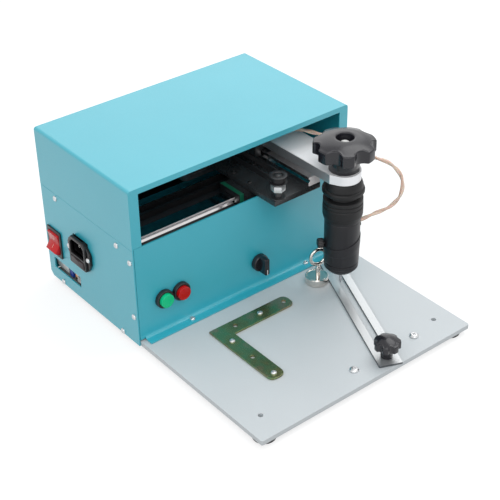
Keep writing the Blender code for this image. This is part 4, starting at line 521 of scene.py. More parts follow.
def screws(name, places, look="screw", body="machine"):
    """Pan heads as one piece. A place is (x, y, z), the direction that it faces, its radius and its turn."""
    bm = bmesh.new()
    for spot, facing, radius, turn in places:
        start = len(bm.verts)
        bm.from_mesh(PAN)
        bm.verts.ensure_lookup_table()
        aim = Matrix.Translation(at(*spot)) @ Z.rotation_difference(Vector(facing)).to_matrix().to_4x4()
        whole = aim @ Matrix.Rotation(turn, 4, "Z") @ Matrix.Scale(radius * MM, 4)
        bmesh.ops.transform(bm, matrix=whole, verts=bm.verts[start:])
    return make(name, bm, look, body=body)


# The head's wire, a twisted pair, along the route that the solid has

WIRE_STRAND, WIRE_OFFSET, WIRE_TWIST = 1.45, 0.75, 34
WIRE_ROUTE = (
    (0.1, 136.2, 143.7), (1.5, 118.2, 143.9), (3.9, 100.2, 145.2), (7.1, 86.7, 147.8),
    (10.8, 76.0, 149.8), (16.4, 57.2, 151.0), (22.6, 36.2, 150.0), (30.4, 14.6, 145.2),
    (38.5, -3.4, 141.2), (47.0, -12.4, 137.0), (53.1, -18.9, 129.7), (56.5, -23.0, 121.7),
    (57.0, -25.1, 113.0), (55.3, -26.0, 106.2), (51.9, -25.4, 99.2), (44.4, -22.4, 91.6),
    (36.8, -18.6, 87.8), (30.1, -14.6, 85.0), (23.4, -10.4, 81.6), (17.8, -7.2, 79.0))
WIRE_END = (16.4, -6.6, 78.3)


def make_wire():
    path = spline([at(AXIS_X + x, AXIS_Y + y, z) for x, y, z in (*WIRE_ROUTE, WIRE_END)], 8)
    lengths = [0.0]
    for start, end in zip(path, path[1:]):
        lengths.append(lengths[-1] + (end - start).length)
    strands = ([], [])
    for length, (point, across, beside) in zip(lengths, frames(path)):
        angle = math.tau * length / (WIRE_TWIST * MM)
        out = (across * math.cos(angle) + beside * math.sin(angle)) * WIRE_OFFSET * MM
        strands[0].append(point + out)
        strands[1].append(point - out)
    bm = bmesh.new()
    for number, strand in enumerate(strands):
        sweep(strand, WIRE_STRAND, 12, bm, number)
    wire = make("wire_pair", bm, ["wire", "wire_b"], "head_wire", "wire_insulation", "arm_carriage")
    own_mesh(wire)
    lathe("wire_grommet", [(0, -2), (3.0, -2), (3.0, 0.6, 0.4), (2.2, 1.0, 0.3), (0, 1.0)], "rubber",
          body="head", place=(AXIS_X + 16.9, AXIS_Y - 6.9, 78.8), axis=Vector((0.87, -0.48, 0.12)), sides=32)
    clip = slab([rect(AXIS_X + 1, AXIS_Y + 141.5, 9, 7.5, 1.2)], ARM_TOP, 150, edge=0.8)
    make("wire_terminal", clip, "moulded", body="arm_carriage")
    screws("terminal_screws", [((AXIS_X + x, AXIS_Y + 143.5, 150), Z, 2.0, x) for x in (-3, 5)],
           body="arm_carriage")


def make_screws():
    places = []
    turn = 0.3
    for face, out in ((0, -X), (HOUSING_W, X)):
        for y, z in ((27, 100), (137, 101), (5.4, 91), (5.4, 28), (28, -2), (139, -2)):
            turn += 0.83
            places.append(((face, y, z), out, 3.0, turn))
    for x, y in ((61.5, -4.4), (213.1, -2.6)):
        turn += 0.83
        places.append(((x, y, 1.8), Z, 3.0, turn))
    screws("housing_screws", places)
    screws("plate_screws", [((212.2, -165.1, 0), Z, 4.7, 0.4), ((131.3, -166.1, 0), Z, 4.7, 1.0)])
    bracket = ((118.6, -41.2, 0.2), (69.1, -59.2, 1.1), (69.1, -122.2, 0.6))
    screws("bracket_screws", [((x, y, 2.3), Z, 2.9, turn) for x, y, turn in bracket])
    screws("inlet_screws", [((-3.3, y, 57.7), -X, 2.7, y) for y in (INLET_Y - 17.7, INLET_Y + 17.7)])
    screws("carriage_screws", [((x, y, PLATE_TOP), Z, 2.6, x + y) for x in (154.5, 180.5) for y in (17, 43)],
           "dark_steel", "x_carriage")


# Feet, buttons and the marking head

def make_feet():
    for name in ("foot_front_left", "foot_front_right", "foot_back_left", "foot_back_right"):
        low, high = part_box(name)
        x, y = ((low + high) / 2 - CORNER).xy / MM
        profile = [(0, 1.8), (3.4, 1.8, 0.3), (3.4, 0, 0.2), (11.2, 0, 1.2), (12, 5.7, 0.5), (0, 5.7)]
        lathe(f"rubber_{name}", profile, "rubber", name, "black_rubber", place=(x, y, -11), steps=4)


def make_buttons():
    body = [(7.6, 14), (7.6, -4.6, 0.25), (9.6, -4.6, 0.9), (9.9, -2.6, 0.3), (9.9, -0.3), (8, -0.3), (8, 22),
            (0, 22), (0, 14)]
    cap = [(0, -8.3), (5.2, -8.35, 0.5), (5.5, -8.0, 0.3), (5.9, -8.3, 0.3), (7.3, -8.2, 0.9),
           (7.3, 7), (0, 7)]
    for colour, x in (("green", 31.4), ("red", 51.6)):
        shape = {"place": (x, 0, 39.2), "axis": Y, "sides": 72}
        lathe(f"{colour}_bezel", body, "moulded", f"{colour}_button_body", "black_plastic", closed=True,
              steps=5, **shape)
        lens = f"{colour}_lens"
        lathe(lens, cap, lens, f"{colour}_button_cap", lens, f"{colour}_button", steps=4, **shape)


def beside_head(degrees, reach, z):
    """A direction out of the head's axis, and the place at a reach along it."""
    out = Vector((math.cos(math.radians(degrees)), math.sin(math.radians(degrees)), 0))
    return {"axis": out, "place": (AXIS_X + reach * out.x, AXIS_Y + reach * out.y, z)}


def make_head():
    """The head below the arm, from its body down to the needle."""
    ring = {"body": "head", "sides": 112, "closed": True, "steps": 4}
    lathe("marking_body",
          [(5, 52), (16.2, 52), (16.2, 55.5), (18.1, 55.5), (18.2, 84.6, 0.2), (17.9, 84.9, 0.1),
           (18.2, 85.2, 0.2), (18.2, 101, 1.4), (0, 101), (0, 97), (15, 97), (15, 66), (5, 66)],
          "body", "head_body", "black_metal", **ring)
    lathe("body_screw", [(0, 0), (1.5, 0), (1.5, 0.9, 0.3), (0.8, 0.9), (0.7, 0.4), (0, 0.4)], "moulded",
          body="head", sides=24, **beside_head(-39, 18, 78))
    # A flat near-black disc on the sleeve: painted shade for a small hole.
    lathe("sleeve_hole_shade", [(0, 0.12), (0.9, 0.12), (1.15, 0)], "grime", body="head", sides=24,
          **beside_head(240, 18.3, 55.4))
    bm = turned([(5, 36.2), (17.95, 36.2, 0.4), (18.25, 49, 0.2), (18.75, 54, 0.5), (18.8, 62.5, 0.25),
                 (18.3, 62.5), (18.3, 52), (16.5, 52), (16.5, 38), (5, 38)], sides=112, steps=4)
    slant, straight, eased = 0.335, 47, 6
    for vert in bm.verts:
        away = vert.co - at(*HEAD)
        vert.co.z += slant * away.x * min(1, max(0, (away.z / MM - straight) / eased))
    make("marking_sleeve", bm, "body", "head_sleeve", "black_metal", "head")
    lathe("marking_nose", [(1.6, 20.5), (6.2, 20.5, 0.5), (7, 21.3, 0.4), (13, 24.5, 0.8), (14.6, 26.0, 0.3),
                           (14.6, 26.6, 0.2), (17.4, 29.2, 0.8), (17.6, 31.4, 0.3), (17.0, 31.9, 0.1),
                           (17.7, 32.4, 0.3), (17.7, 35.2, 0.3), (17.0, 35.6, 0.2), (17.0, 36.1), (5.2, 36.1),
                           (5.2, 33.7), (1.6, 33.7)], "body", "needle_guide", "black_metal", **ring)
    lathe("marking_needle", [(0, 6), (0.12, 6.03), (0.3, 6.3), (1.5, 10.0, 0.3), (1.5, 44), (4, 44, 0.2),
                             (4, 47, 0.2), (3, 47), (3, 80, 0.3), (0, 80)],
          "shield", "needle", "bright_steel", "needle_rod", sides=40, steps=4)
    turns, count, radius, low, rise = 4.8, 120, 2.9, 34.6, 8.6
    points = []
    for step in range(count):
        share = step / (count - 1)
        (x, y), = circle(AXIS_X, AXIS_Y, radius, 1, math.tau * turns * share)
        points.append(at(x, y, low + share * rise))
    spring = make("return_spring", sweep(points, 0.45, 8), "bright", "needle_spring", "bright_steel", "head")
    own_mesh(spring)
    lathe("coil_winding", [(3.6, 66.3), (14.5, 66.3), (14.5, 67.5), (13.9, 67.8), (13.9, 95.3), (14.5, 95.6),
                           (14.5, 96.7), (3.6, 96.7)],
          "copper", "head_coil", "copper_winding", "head", closed=True)


def thread(low, high, pitch, depth):
    """Ridges of a screw's thread, as a change of radius with height."""
    def wave(angle, height, radius):
        if not low < height < high:
            return 0.0
        phase = (height / pitch - angle / math.tau) % 1
        return -depth * abs(2 * phase - 1)
    return wave


def rise(radius, low, high, step):
    """Points up a cylinder, close enough for a thread."""
    return [(radius, low + step * index) for index in range(math.ceil((high - low) / step))]


def make_spindle():
    profile = [(4.8, 101.3), (8, 101.3)] + rise(8, 104, 164.9, 0.375) \
        + [(8, 165.2), (7.4, 166.5), (5.4, 166.5), (4.8, 165.9)]
    # The spindle's silver end in the knob's hole, painted white as a painted reflection.
    lathe("spindle_tip", [(0, 160), (4.2, 160), (4.2, 171.2, 0.6), (0, 172.0)], "white", body="head")
    lathe("threaded_spindle", profile, "bright", "head_spindle", "bright_steel", "head", closed=True,
          wave=thread(104, 165, 1.5, 0.55))


def make_bellows():
    outside = [
        (17.7, 131.0, 0.3), (18.6, 129.0, 0.8), (19.4, 126.4, 0.8), (19.9, 123.4, 0.4), (19.3, 122.7, 0.2),
        (20.6, 122.0, 0.5), (21.3, 120.6, 1.0), (21.3, 117.4, 1.3), (18.4, 116.7, 0.6), (15.4, 115.6, 1.0),
        (15.4, 112.4, 1.0), (20.1, 110.8, 1.1), (20.1, 107.2, 0.8), (19.2, 106.2, 0.3), (20.2, 105.5, 0.5),
        (20.3, 102.8, 0.5), (19.5, 102.0, 0.3), (20.4, 101.2, 0.5), (20.3, 92.4, 1.2), (19.5, 89.2, 0.5),
        (19.4, 88.5, 0.3)]
    inside = [(18.6, 88.5), (18.6, 101.6), (14.6, 101.9), (14.6, 117.2), (18.6, 120), (16, 126.2),
              (16, 131.0)]
    bellows = lathe("rubber_bellows", outside + inside, "rubber", "head_bellows", "black_rubber",
                    "arm_carriage", sides=112, closed=True, steps=5)
    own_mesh(bellows)


# Star knobs

LOBES = 7


def star_radii(radius, scallop_r, scallop_at, count, soften):
    """A star knob's radius by angle: a circle with round scallops, its corners made soft."""
    angles = np.arange(count) * math.tau / count
    off = ((angles * LOBES / math.tau) % 1 - 0.5) * math.tau / LOBES
    side = scallop_at * np.sin(off)
    inner = np.sqrt(np.clip(scallop_r ** 2 - side ** 2, 0, None))
    near = np.where(np.abs(side) < scallop_r, scallop_at * np.cos(off) - inner, radius)
    star = np.minimum(radius, near)
    width = max(1, int(count * soften / 360))
    kernel = np.exp(-0.5 * (np.arange(-3 * width, 3 * width + 1) / width) ** 2)
    kernel /= kernel.sum()
    wrapped = np.concatenate([star[-3 * width:], star, star[:3 * width]])
    return angles, np.convolve(wrapped, kernel, "valid")


def star_knob(name, x, y, star, turn, hub, heights, inner, round_over, body, replaces):
    """A star knob: a hub, scalloped walls between two heights and a domed top.

    star is what star_radii takes, hub its (radius, height) points from the foot up, heights the lobes'
    underside, their rim and the dome, inner the points of the hole from its upper rim down, or nothing, and
    round_over the radii of the upper and the lower edges.
    """
    angles, walls = star_radii(*star)
    under, rim, dome = heights
    upper, lower = round_over
    start = inner[0][0] if inner else 0.0
    reach = star[0] - upper - start
    full = np.ones(len(angles))

    def top(r):
        return dome - (dome - rim - 0.55 * upper) * (np.clip(r - start, 0, None) / reach) ** 1.8

    levels = [(full * r, full * z) for r, z in hub]
    levels += [(walls - lower * (1 - share), full * z) for share, z in
               ((0, under), (0.6, under + 0.2 * lower), (0.93, under + 0.6 * lower), (1, under + lower))]
    edge = top(walls - upper)
    for step in range(6):
        slope = math.pi / 2 * (1 - step / 5) * 0.96
        levels.append((walls - upper * (1 - math.sin(slope)), edge - upper * (1 - math.cos(slope))))
    for step in range(7, 0, -1):
        r = start + (walls - upper - start) * step / 8
        levels.append((r, top(r)))
    levels += [(full * r, full * z) for r, z in inner]
    bm = bmesh.new()
    rings = []
    for radii, zs in levels:
        rings.append([bm.verts.new(at(x + r * math.cos(a + turn), y + r * math.sin(a + turn), z))
                      for r, z, a in zip(radii, zs, angles)])
    if not inner:
        foot, crown = ([bm.verts.new(at(x, y, z))] for z in (hub[0][1], dome))
        rings = [foot, *rings, crown]
    skin(bm, rings, closed=bool(inner))
    return make(name, bm, "knob", replaces, "black_plastic", body, 50)


def make_knobs():
    hub = [(8.3, 141.6), (14.8, 141.6), (15.4, 142.2), (15.4, 156.6), (15.8, 157.8), (16.8, 158.7),
           (18.0, 158.8)]
    hole = [(10.0, 176.6), (9.2, 176.3), (8.8, 175.5), (8.8, 160), (8.3, 160)]
    star_knob("height_star_knob", AXIS_X, AXIS_Y, (31.2, 9.9, 35.8, 336, 1.9), math.radians(28.5), hub,
              (158.8, 170.4, 176.6), hole, (2.0, 1.0), "height_knob", "head_knob")
    foot = 2.6
    hub = [(5.4, foot), (5.8, foot + 0.4), (6.6, foot + 10.2), (7.2, foot + 11.1), (7.8, foot + 11.2)]
    star_knob("clamp_star_knob", STUD_X, STUD_Y, (13.1, 3.4, 14.2, 224, 1.8), math.radians(12), hub,
              (foot + 11.2, foot + 18.0, foot + 22.8), [], (1.2, 0.6), "clamp_nut", "clamp_knob")


# Left side fittings

def make_switch():
    """The rocker, whose two curved faces bear a ring above and a bar below, in its rim."""
    y, z, pivot, r, hollow = SWITCH_Y, SWITCH_Z, 1.0, 11.8, 0.35

    def end_face(side, tilt):
        angles = [math.radians(tilt - 20 + 55 * step / 8) for step in range(9)]
        return [(pivot - r * math.sin(angle), z + side * r * math.cos(angle)) for angle in angles]

    def on_face(start, end, share):
        """A place on a face that is slightly hollow."""
        a, b = (s + (e - s) * share for s, e in zip(start, end))
        return a + hollow * 4 * share * (1 - share), b

    low, high, valley = end_face(-1, 10), end_face(1, -10), (pivot - 3.2, z)
    faces = ((low[-1], valley), (valley, high[-1]))
    lower, upper = ([on_face(*face, share) for share in (0.2, 0.4, 0.6, 0.8)] for face in faces)
    make("rocker", slab([low + lower + [valley] + upper + high[::-1]], y - 9.5, y + 9.5, "Y", 0.35), "red",
         "switch_rocker", "red_plastic", "rocker", 25)
    hole, well = rect(y, z, 9.8, 12.1, 0.6), rect(y, z, 10.3, 13.6)
    bm = slab([rect(y, z, 12.75, 15.9, 1.4), hole], -2, -0.3, "X", 0.5)
    slab([well, hole], -0.4, 17, "X", 0.2, bm)
    slab([well], 17, 18, "X", 0.2, bm)
    make("switch_frame", bm, "moulded", "switch_rim", "black_plastic")

    bm = bmesh.new()
    lift, thick = 0.02, 0.08
    for (start, end), share in zip(faces, (0.55, 0.56)):
        a, b = on_face(start, end, share)
        along = Vector((end[0] - start[0], 0, end[1] - start[1])).normalized()
        out = Vector((-abs(along.z), 0, math.copysign(abs(along.x), along.x * along.z)))
        middle = Vector((a, y, b)) + out * lift
        if end == valley:
            corners = [middle + Y * a + along * b for a, b in rect(0, 0, 0.2, 2.0)]
            rings = [[bm.verts.new(at(*(corner + out * up))) for corner in corners] for up in (0, thick)]
            skin(bm, rings)
            for ring in rings:
                bm.faces.new(ring)
        else:
            turned([(1.8, 0), (2.25, 0), (2.25, thick), (1.8, thick)], middle, out, 36, bm=bm)
    make("rocker_marks", bm, "mark", body="rocker")


def make_inlet():
    """The mains socket's flange and shroud with three blades, and the fuse drawer below it."""
    y, z = INLET_Y, INLET_Z
    middle, low = z + 4.4, z - 10.5
    ear = mirrored(y, z, [(15, -16.4), (20.5, -6.5), (20.5, 5.5), (10, 16.4)])
    raised = mirrored(y, z, [(14, -16.4), (15, -15.4), (15, 11.4), (10, 16.4)])
    socket = mirrored(y, middle, [(11.6, -8.4), (12, -8.0), (12, 4.2), (7.8, 8.4)])
    holes = [fillet(socket, 0.8, 3, True), rect(y, low, 12, 3.9, 0.4)]
    back = rect(y, z, 13.5, 15)
    bm = slab([fillet(raised, 0.9, 3, True)] + holes, -5.5, -0.3, "X", 0.7)
    slab([fillet(ear, 2.2, 4, True)] + holes, -3.3, -0.3, "X", 0.5, bm)
    slab([back] + holes, -0.35, 10.5, "X", 0.2, bm)
    slab([back], 10.5, 24, "X", 0.3, bm)
    make("mains_inlet", bm, "gloss", "power_inlet", "black_plastic")
    bm = bmesh.new()
    for column, lift in ((-7, -2), (0, 2), (7, -2)):
        slab([rect(y + column, middle + lift, 1, 2, 0.4)], 1.5, 11, "X", 0.4, bm)
    make("inlet_blades", bm, "zinc")
    bm = slab([rect(y, low, 11.7, 3.6, 0.5)], -6.1, 9.2, "X", 0.5)
    slab([rect(y, low + 2.5, 3.5, 0.6, 0.4)], -6.6, -5.8, "X", 0.25, bm)
    make("fuse_holder", bm, "drawer", "fuse_drawer", "black_plastic", "fuse_tray")


def port(name, shell, mouth, front, back, end, **stands):
    """A shielded port with a mouth to the left, from its front to the mouth's back and to its end."""
    bm = slab([shell, mouth], front, back, "X", 0.25)
    slab([shell], back, end, "X", 0.25, bm)
    make(name, bm, "tin", **stands)


def make_ports():
    """What the port window shows: a USB socket, a blue terminal, a shielded socket and a small coil."""
    low = BOARD_TOP + 0.3
    y, z = 110, low + 5.5
    port("usb_shell", rect(y, z, 6, 5.5, 0.8), rect(y, z, 4.9, 4.4, 0.6), 3.5, 13.5, 19.5,
         replaces="usb_port", slot="bearing_steel")
    make("usb_tongue", slab([rect(y, low + 5.6, 3.4, 1.0, 0.3)], 5, 13.6, "X", 0.3), "white")
    outline = [(3.5, low), (12, low), (12, low + 10), (6.5, low + 10), (3.5, low + 7)]
    make("blue_terminal", slab([outline], 124.5, 130.5, "Y", 0.3), "blue", "port_terminal", "blue_plastic")
    y = 145.8
    port("shielded_port", rect(y, low + 6.25, 11.8, 6.25, 0.6), rect(y, low + 10.2, 10.7, 1.2, 0.5),
         4.5, 15, 20)
    lathe("filter_coil", [(2.2, 8.7), (3.1, 8.7, 0.4), (3.1, 15.5, 0.4), (2.2, 15.5)], "copper",
          place=(7.5, 120.4, 0), sides=40, closed=True)


def make_board():
    """The parts on the control board: chips, plugs and capacitors."""
    bm = bmesh.new()
    chips = ((34, 112, 14, 14, 2.2), (58, 112, 9, 6, 1.8), (58, 124, 9, 6, 1.8), (30, 134, 7, 5, 1.6),
             (72, 150, 12, 5, 9), (52, 150, 14, 5, 9), (30, 150, 14, 5, 9))
    for x, y, w, d, h in chips:
        slab([rect(x, y, w / 2, d / 2, 0.3)], BOARD_TOP, BOARD_TOP + h, bm=bm)
    make("board_chips", bm, "moulded")
    bm = bmesh.new()
    cans = ((78, 106, 5, 12), (78, 120, 4, 11), (45, 136, 4, 11), (62, 138, 3, 7), (20, 137, 3, 7))
    for x, y, r, h in cans:
        turned([(0, 0), (r, 0), (r, h, 0.5), (0, h)], (x, y, BOARD_TOP), sides=32, closed=False, bm=bm)
    make("board_capacitors", bm, "shield")
    corners = [(x, y) for x in (13.5, 84.5) for y in (103.5, 153.5)]
    holes = [circle(x, y, 1.6, 16) for x, y in corners]
    bm = slab([span(9, 89, 99, 158)] + holes, BOARD_LOW, BOARD_TOP, edge=0.2)
    for x, y in corners:
        turned([(1.6, 0.3), (3, 0.3), (3, BOARD_LOW), (1.6, BOARD_LOW)], (x, y, 0), sides=24, bm=bm,
               material=1)
    make("circuit_board", bm, ["board", "zinc"], "control_board", "board_green")


def make_supply():
    """The power supply: a folded box with round holes in its top and a terminal strip."""
    right, front, back, top, sheet = 256, 95, 151, 36, 1.2
    holes = [circle(x, y, 2.2, 12) for x in range(176, 246, 7) for y in range(104, 146, 7)]
    bm = slab([span(150, right, front, back)] + holes, top - sheet, top)
    wall_low, wall_top = 1.5, top - 1.1
    for y in (front, back - sheet):
        slab([span(150, right, y, y + sheet)], wall_low, wall_top, edge=0.25, bm=bm)
    slab([span(142, right, front, back)], 0.3, 1.6, bm=bm)
    for x in (right - sheet, 167):
        slab([span(x, x + sheet, front + 1, back - 1)], wall_low, wall_top, edge=0.25, bm=bm)
    make("supply_case", bm, "shield", "power_supply", "bearing_steel")
    make("supply_strip", slab([span(151, 165, 98, 148)], 1.6, 16, edge=0.6), "moulded")
    screws("supply_screws", [((158, 103 + 8 * step, 16), Z, 2.4, step) for step in range(6)])
    # A near-black block inside the case: painted shade for what the holes in its top show.
    make("supply_inside_shade", slab([span(170, 253, 97, 149)], 1.8, 30, edge=0.6), "grime")


# Carriages

def octagon(x, y, half, cut):
    flat = half - cut
    return mirrored(x, y, [(flat, -half), (half, -flat), (half, flat), (flat, half)])


def make_motor(name, x, y, top, height, shaft_top, body, replaces):
    """A stepping motor: black laminations between two cast ends, its boss and its shaft."""
    end, foot = 8, top - height
    bm = slab([octagon(x, y, 21.15, 4)], top - end, top, edge=0.5, material=1)
    slab([octagon(x, y, 21.0, 5)], foot + end, top - end, edge=0.2, bm=bm)
    slab([octagon(x, y, 21.15, 4)], foot, foot + end, edge=0.5, bm=bm, material=1)
    boss = top + 2
    turned([(0, top), (11, top), (11, boss, 0.3), (0, boss)], (x, y, 0), sides=48, closed=False, bm=bm,
           material=1)
    turned([(0, boss), (2.5, boss), (2.5, shaft_top - 0.3), (2.2, shaft_top), (0, shaft_top)], (x, y, 0),
           sides=32, closed=False, bm=bm, material=2)
    make(name, bm, ["moulded", "shield", "zinc"], replaces, "black_metal", body)


def teeth(angle, height, radius):
    """A toothed wheel's gaps, as a change of radius."""
    return -0.3 if (angle * PULLEY_TEETH / math.tau) % 1 > 0.5 else 0.0


def tooth_ring(low, high):
    return [(5.1, low), (5.55, low), (5.55, high), (5.1, high)]


def pulley(name, x, y, low, belt_low, body, replaces):
    """A toothed pulley between two flanges, with a hub below where there is room."""
    bore, floor, high, flange = 2.6, belt_low - 0.2, belt_low + 6.2, 0.9
    foot = floor - flange
    hub = [(bore, low, 0.1), (8, low, 0.4), (8, foot)] if low < foot else [(bore, foot)]
    bm = turned(hub + [(9, foot, 0.2), (9, floor, 0.2), (5.2, floor), (5.2, high), (9, high, 0.2),
                       (9, high + flange, 0.2), (bore, high + flange)], (x, y, 0), sides=72)
    turned(tooth_ring(floor, high), (x, y, 0), sides=80, bm=bm, wave=teeth)
    make(name, bm, "zinc", replaces, "bearing_steel", body)


def belt(name, start, end, low, body, replaces):
    """A toothed belt round two pulleys. Its teeth point inward."""
    start, end = Vector(start), Vector(end)
    straight = (end - start).length
    along = (end - start).normalized()
    across = Vector((-along.y, along.x))
    total = 2 * (straight + math.pi * BELT_R)

    def loop(radius, share):
        """A point of the loop, at a share of its length."""
        half, s = divmod(share * total, total / 2)
        here, there, side = (end, start, -1) if half else (start, end, 1)
        if s < straight:
            return here + side * (along * s - across * radius)
        angle = (s - straight) / BELT_R
        return there + side * (along * math.sin(angle) - across * math.cos(angle)) * radius

    count = int(total / 2)
    outer = [loop(BELT_R + 0.7, step / (2 * count)) for step in range(2 * count)]
    tooth = ((0.0, 5.95), (0.28, 5.95), (0.38, 5.66), (0.62, 5.66), (0.72, 5.95))
    inner = [loop(radius, (step + share) / count) for step in range(count) for share, radius in tooth]
    bm = bmesh.new()
    caps = []
    for z in (low, low + BELT_WIDE):
        caps.append([[bm.verts.new(at(*point, z)) for point in points] for points in (outer, inner)])
    for pair in zip(*caps):
        skin(bm, pair)
    triangles = tessellate_polygon([[point.to_3d() for point in points] for points in (outer, inner)])
    for rings in caps:
        verts = rings[0] + rings[1]
        for triangle in triangles:
            bm.faces.new([verts[corner] for corner in triangle])
    make(name, bm, "rubber", replaces, "black_rubber", body, 40)


def make_drives():
    x_motor, x_idler = (X_MOTOR_X, X_BELT_Y), (X_IDLER_X, X_BELT_Y)
    y_motor, y_idler = (Y_BELT_X, Y_MOTOR_Y), (Y_BELT_X, Y_IDLER_Y)
    make_motor("x_stepper", *x_motor, 88.8, 38, 104.6, "machine", "x_motor")
    make_motor("y_stepper", *y_motor, 108.4, 26, 140.9, "x_carriage", "y_motor")
    pulley("x_drive_wheel", *x_motor, 92.4, X_BELT_Z, "x_drive", "x_drive_pulley")
    pulley("x_idler_wheel", *x_idler, 97.3, X_BELT_Z, "x_idler", "x_idler_pulley")
    pulley("y_drive_wheel", *y_motor, 115.0, Y_BELT_Z, "y_drive", "y_drive_pulley")
    belt("x_toothed_belt", x_motor, x_idler, X_BELT_Z, "machine", "x_belt")
    belt("y_toothed_belt", y_idler, y_motor, Y_BELT_Z, "x_carriage", "y_belt")


def make_idler():
    """The front idler of the Y belt: a black wheel with a bearing in it, over a nut, a washer and a post."""
    place = (Y_BELT_X, Y_IDLER_Y, 0)
    wheel = [(4.0, 132.7), (9, 132.7, 0.5), (9, 133.6, 0.3), (5.5, 133.6), (5.5, 140.0), (9, 140.0, 0.3),
             (9, 140.9, 0.5), (5.6, 140.9, 0.2), (5.4, 140.4, 0.1), (4.0, 140.4)]
    bearing = [(2.6, 140.2), (5.4, 140.2, 0.2), (5.4, 140.75, 0.2), (4.9, 140.75, 0.1), (4.7, 140.4, 0.1),
               (3.5, 140.4, 0.1), (3.3, 140.75, 0.1), (2.6, 140.75)]
    shape = {"body": "y_idler", "place": place, "closed": True}
    lathe("y_idler_wheel", wheel, "moulded", "y_idler_pulley", "bearing_steel", **shape)
    lathe("y_idler_teeth", tooth_ring(133.6, 140.0), "zinc", sides=80, wave=teeth, **shape)
    lathe("y_idler_bearing", bearing, "dark_steel", **shape)
    bm = turned([(0, 115), (4, 115), (4, 132.1), (2.5, 132.1), (2.5, 141.0, 0.3), (0, 141.2)], place,
                sides=40, closed=False, material=1)
    turned([(4, 131.0), (6.4, 131.0, 0.2), (6.4, 132.1, 0.2), (4, 132.1)], place, sides=48, bm=bm)
    slab([circle(Y_BELT_X, Y_IDLER_Y, 7.3, 6, 0.3), circle(Y_BELT_X, Y_IDLER_Y, 4, 24)], 123.4, 130.2,
         edge=0.7, bm=bm)
    turned([(4, 115), (7.4, 115, 0.3), (7.4, 116.4, 0.3), (4, 116.4)], place, sides=48, bm=bm, material=1)
    make("y_idler_nut", bm, ["bright", "plate"], "y_idler_bolt", "bright_steel", "x_carriage", 30)


def block(middle, foot, inset=0.0):
    """A ball block's outline, with a channel for its rail."""
    low, high, half, channel = 4 + inset, 16 - inset, 16 - inset, 7.9
    return mirrored(middle, foot, [(channel, 10.4), (channel, low), (half, low), (half, high)])


def make_blocks():
    """The two ball blocks, with the end caps of one."""
    middle, foot = 28, 92.4
    make("x_ball_block", slab([block(middle, foot, 0.2)], 143.2, 192, "X", 0.4), "plate", "x_block",
         "black_metal", "x_carriage")
    screw = [(0, -0.1), (1.9, -0.1), (1.9, 0.5, 0.3), (0.9, 0.5), (0.7, 0.2), (0, 0.2)]
    for side, low, high, face, out in (("left", 138.0, 143.0, 138.0, -X), ("right", 192.2, 197.0, 197.0, X)):
        bm = slab([block(middle, foot)], low, high, "X", 0.4)
        for y in (16.5, 39.5):
            turned(screw, (face, y, foot + 12), out, 20, False, bm, 1)
        make(f"x_cap_{side}", bm, ["green_cap", "moulded"], f"x_block_cap_{side}", "green_end_cap",
             "x_carriage")
    make("x_seal", slab([block(middle, foot, 0.2)], 137.2, 138.1, "X", 0.2), "moulded", body="x_carriage")
    make("y_ball_block", slab([block(201.3, 115)], 46, 88, "Y", 0.5), "plate", "y_block", "black_metal",
         "arm_carriage")


def make_arm():
    half, r, ear_x, ear_y, end_y = 19, 17.2, 164.7, 58, 95
    x0, x1 = AXIS_X - half, AXIS_X + half
    lead = math.acos(r / half)
    nose = []
    for step in range(33):
        angle = math.pi + lead + (math.pi - 2 * lead) * step / 32
        nose.append((AXIS_X + r * math.cos(angle), AXIS_Y + r * math.sin(angle)))
    outline = [(x0, AXIS_Y), *nose, (x1, AXIS_Y), (x1, end_y), (x0, end_y), (x0, ear_y + 18),
               (ear_x, ear_y + 18), (ear_x, ear_y), (x0, ear_y)]
    holes = [circle(AXIS_X, AXIS_Y, 8.5, 48)]
    holes += [circle(x, y, 2.3, 20) for x in (195.3, 207.3) for y in (57, 77)]
    # The flat faces take the pale satin, made paler as painted light; the walls take brushed metal.
    make("head_bracket", slab([outline] + holes, ARM_Z, ARM_TOP, edge=0.35, faces=1), ["aluminium", "satin"],
         "head_arm", "arm_aluminium", "arm_carriage", 20)


def make_carriage_plate():
    outline = [(149.8, -28), (208.8, -28), (208.8, 150), (134.0, 150), (134.0, 100), (149.8, 100)]
    bm = slab([outline, circle(Y_BELT_X, Y_MOTOR_Y, 11.3, 48)], PLATE_LOW, PLATE_TOP, edge=0.35)
    slab([span(185, 195, 52, 58)], X_BELT_Z, PLATE_LOW + 0.2, bm=bm)
    make("carriage_plate", bm, "plate", "y_plate", "black_metal", "x_carriage")


# Work holders

def make_clamp():
    """The slotted bar, the bar under the plate and the threaded stud."""
    x, y = STUD_X, STUD_Y
    outline = span(x - 12.5, x + 167.5, y - 12, y + 12, 1.0)
    slot = span(x - 3.8, x + 155.5, y - 3.5, y + 3.5, 3.4, 6)
    # The walls take the dark cut finish, which is painted shade; the flat faces are bright steel.
    bm = slab([outline, slot], 0.3, 2.3, edge=0.15, faces=1)
    bmesh.ops.rotate(bm, cent=at(x, y, 0), matrix=Matrix.Rotation(BAR_TURN, 3, "Z"), verts=bm.verts)
    make("slotted_bar", bm, ["cut", "bright"], "clamp_bar", "bright_steel", "clamp_slide", 20)
    bm = slab([span(122.4, 218.4, -175.6, -155.6, 1), circle(x, y, 3.3)], STUD_LOW, STUD_LOW + 3, edge=0.4)
    make("backing_bar", bm, "zinc", "clamp_backing_bar", "bright_steel")
    profile = [(0, STUD_LOW)] + rise(3, STUD_LOW, 16.6, 0.25) + [(2.5, 17), (0, 17)]
    lathe("threaded_stud", profile, "zinc", "clamp_stud", "bright_steel", "clamp_pivot", (x, y, 0), sides=48,
          wave=thread(-8, 16.6, 1.0, 0.35))


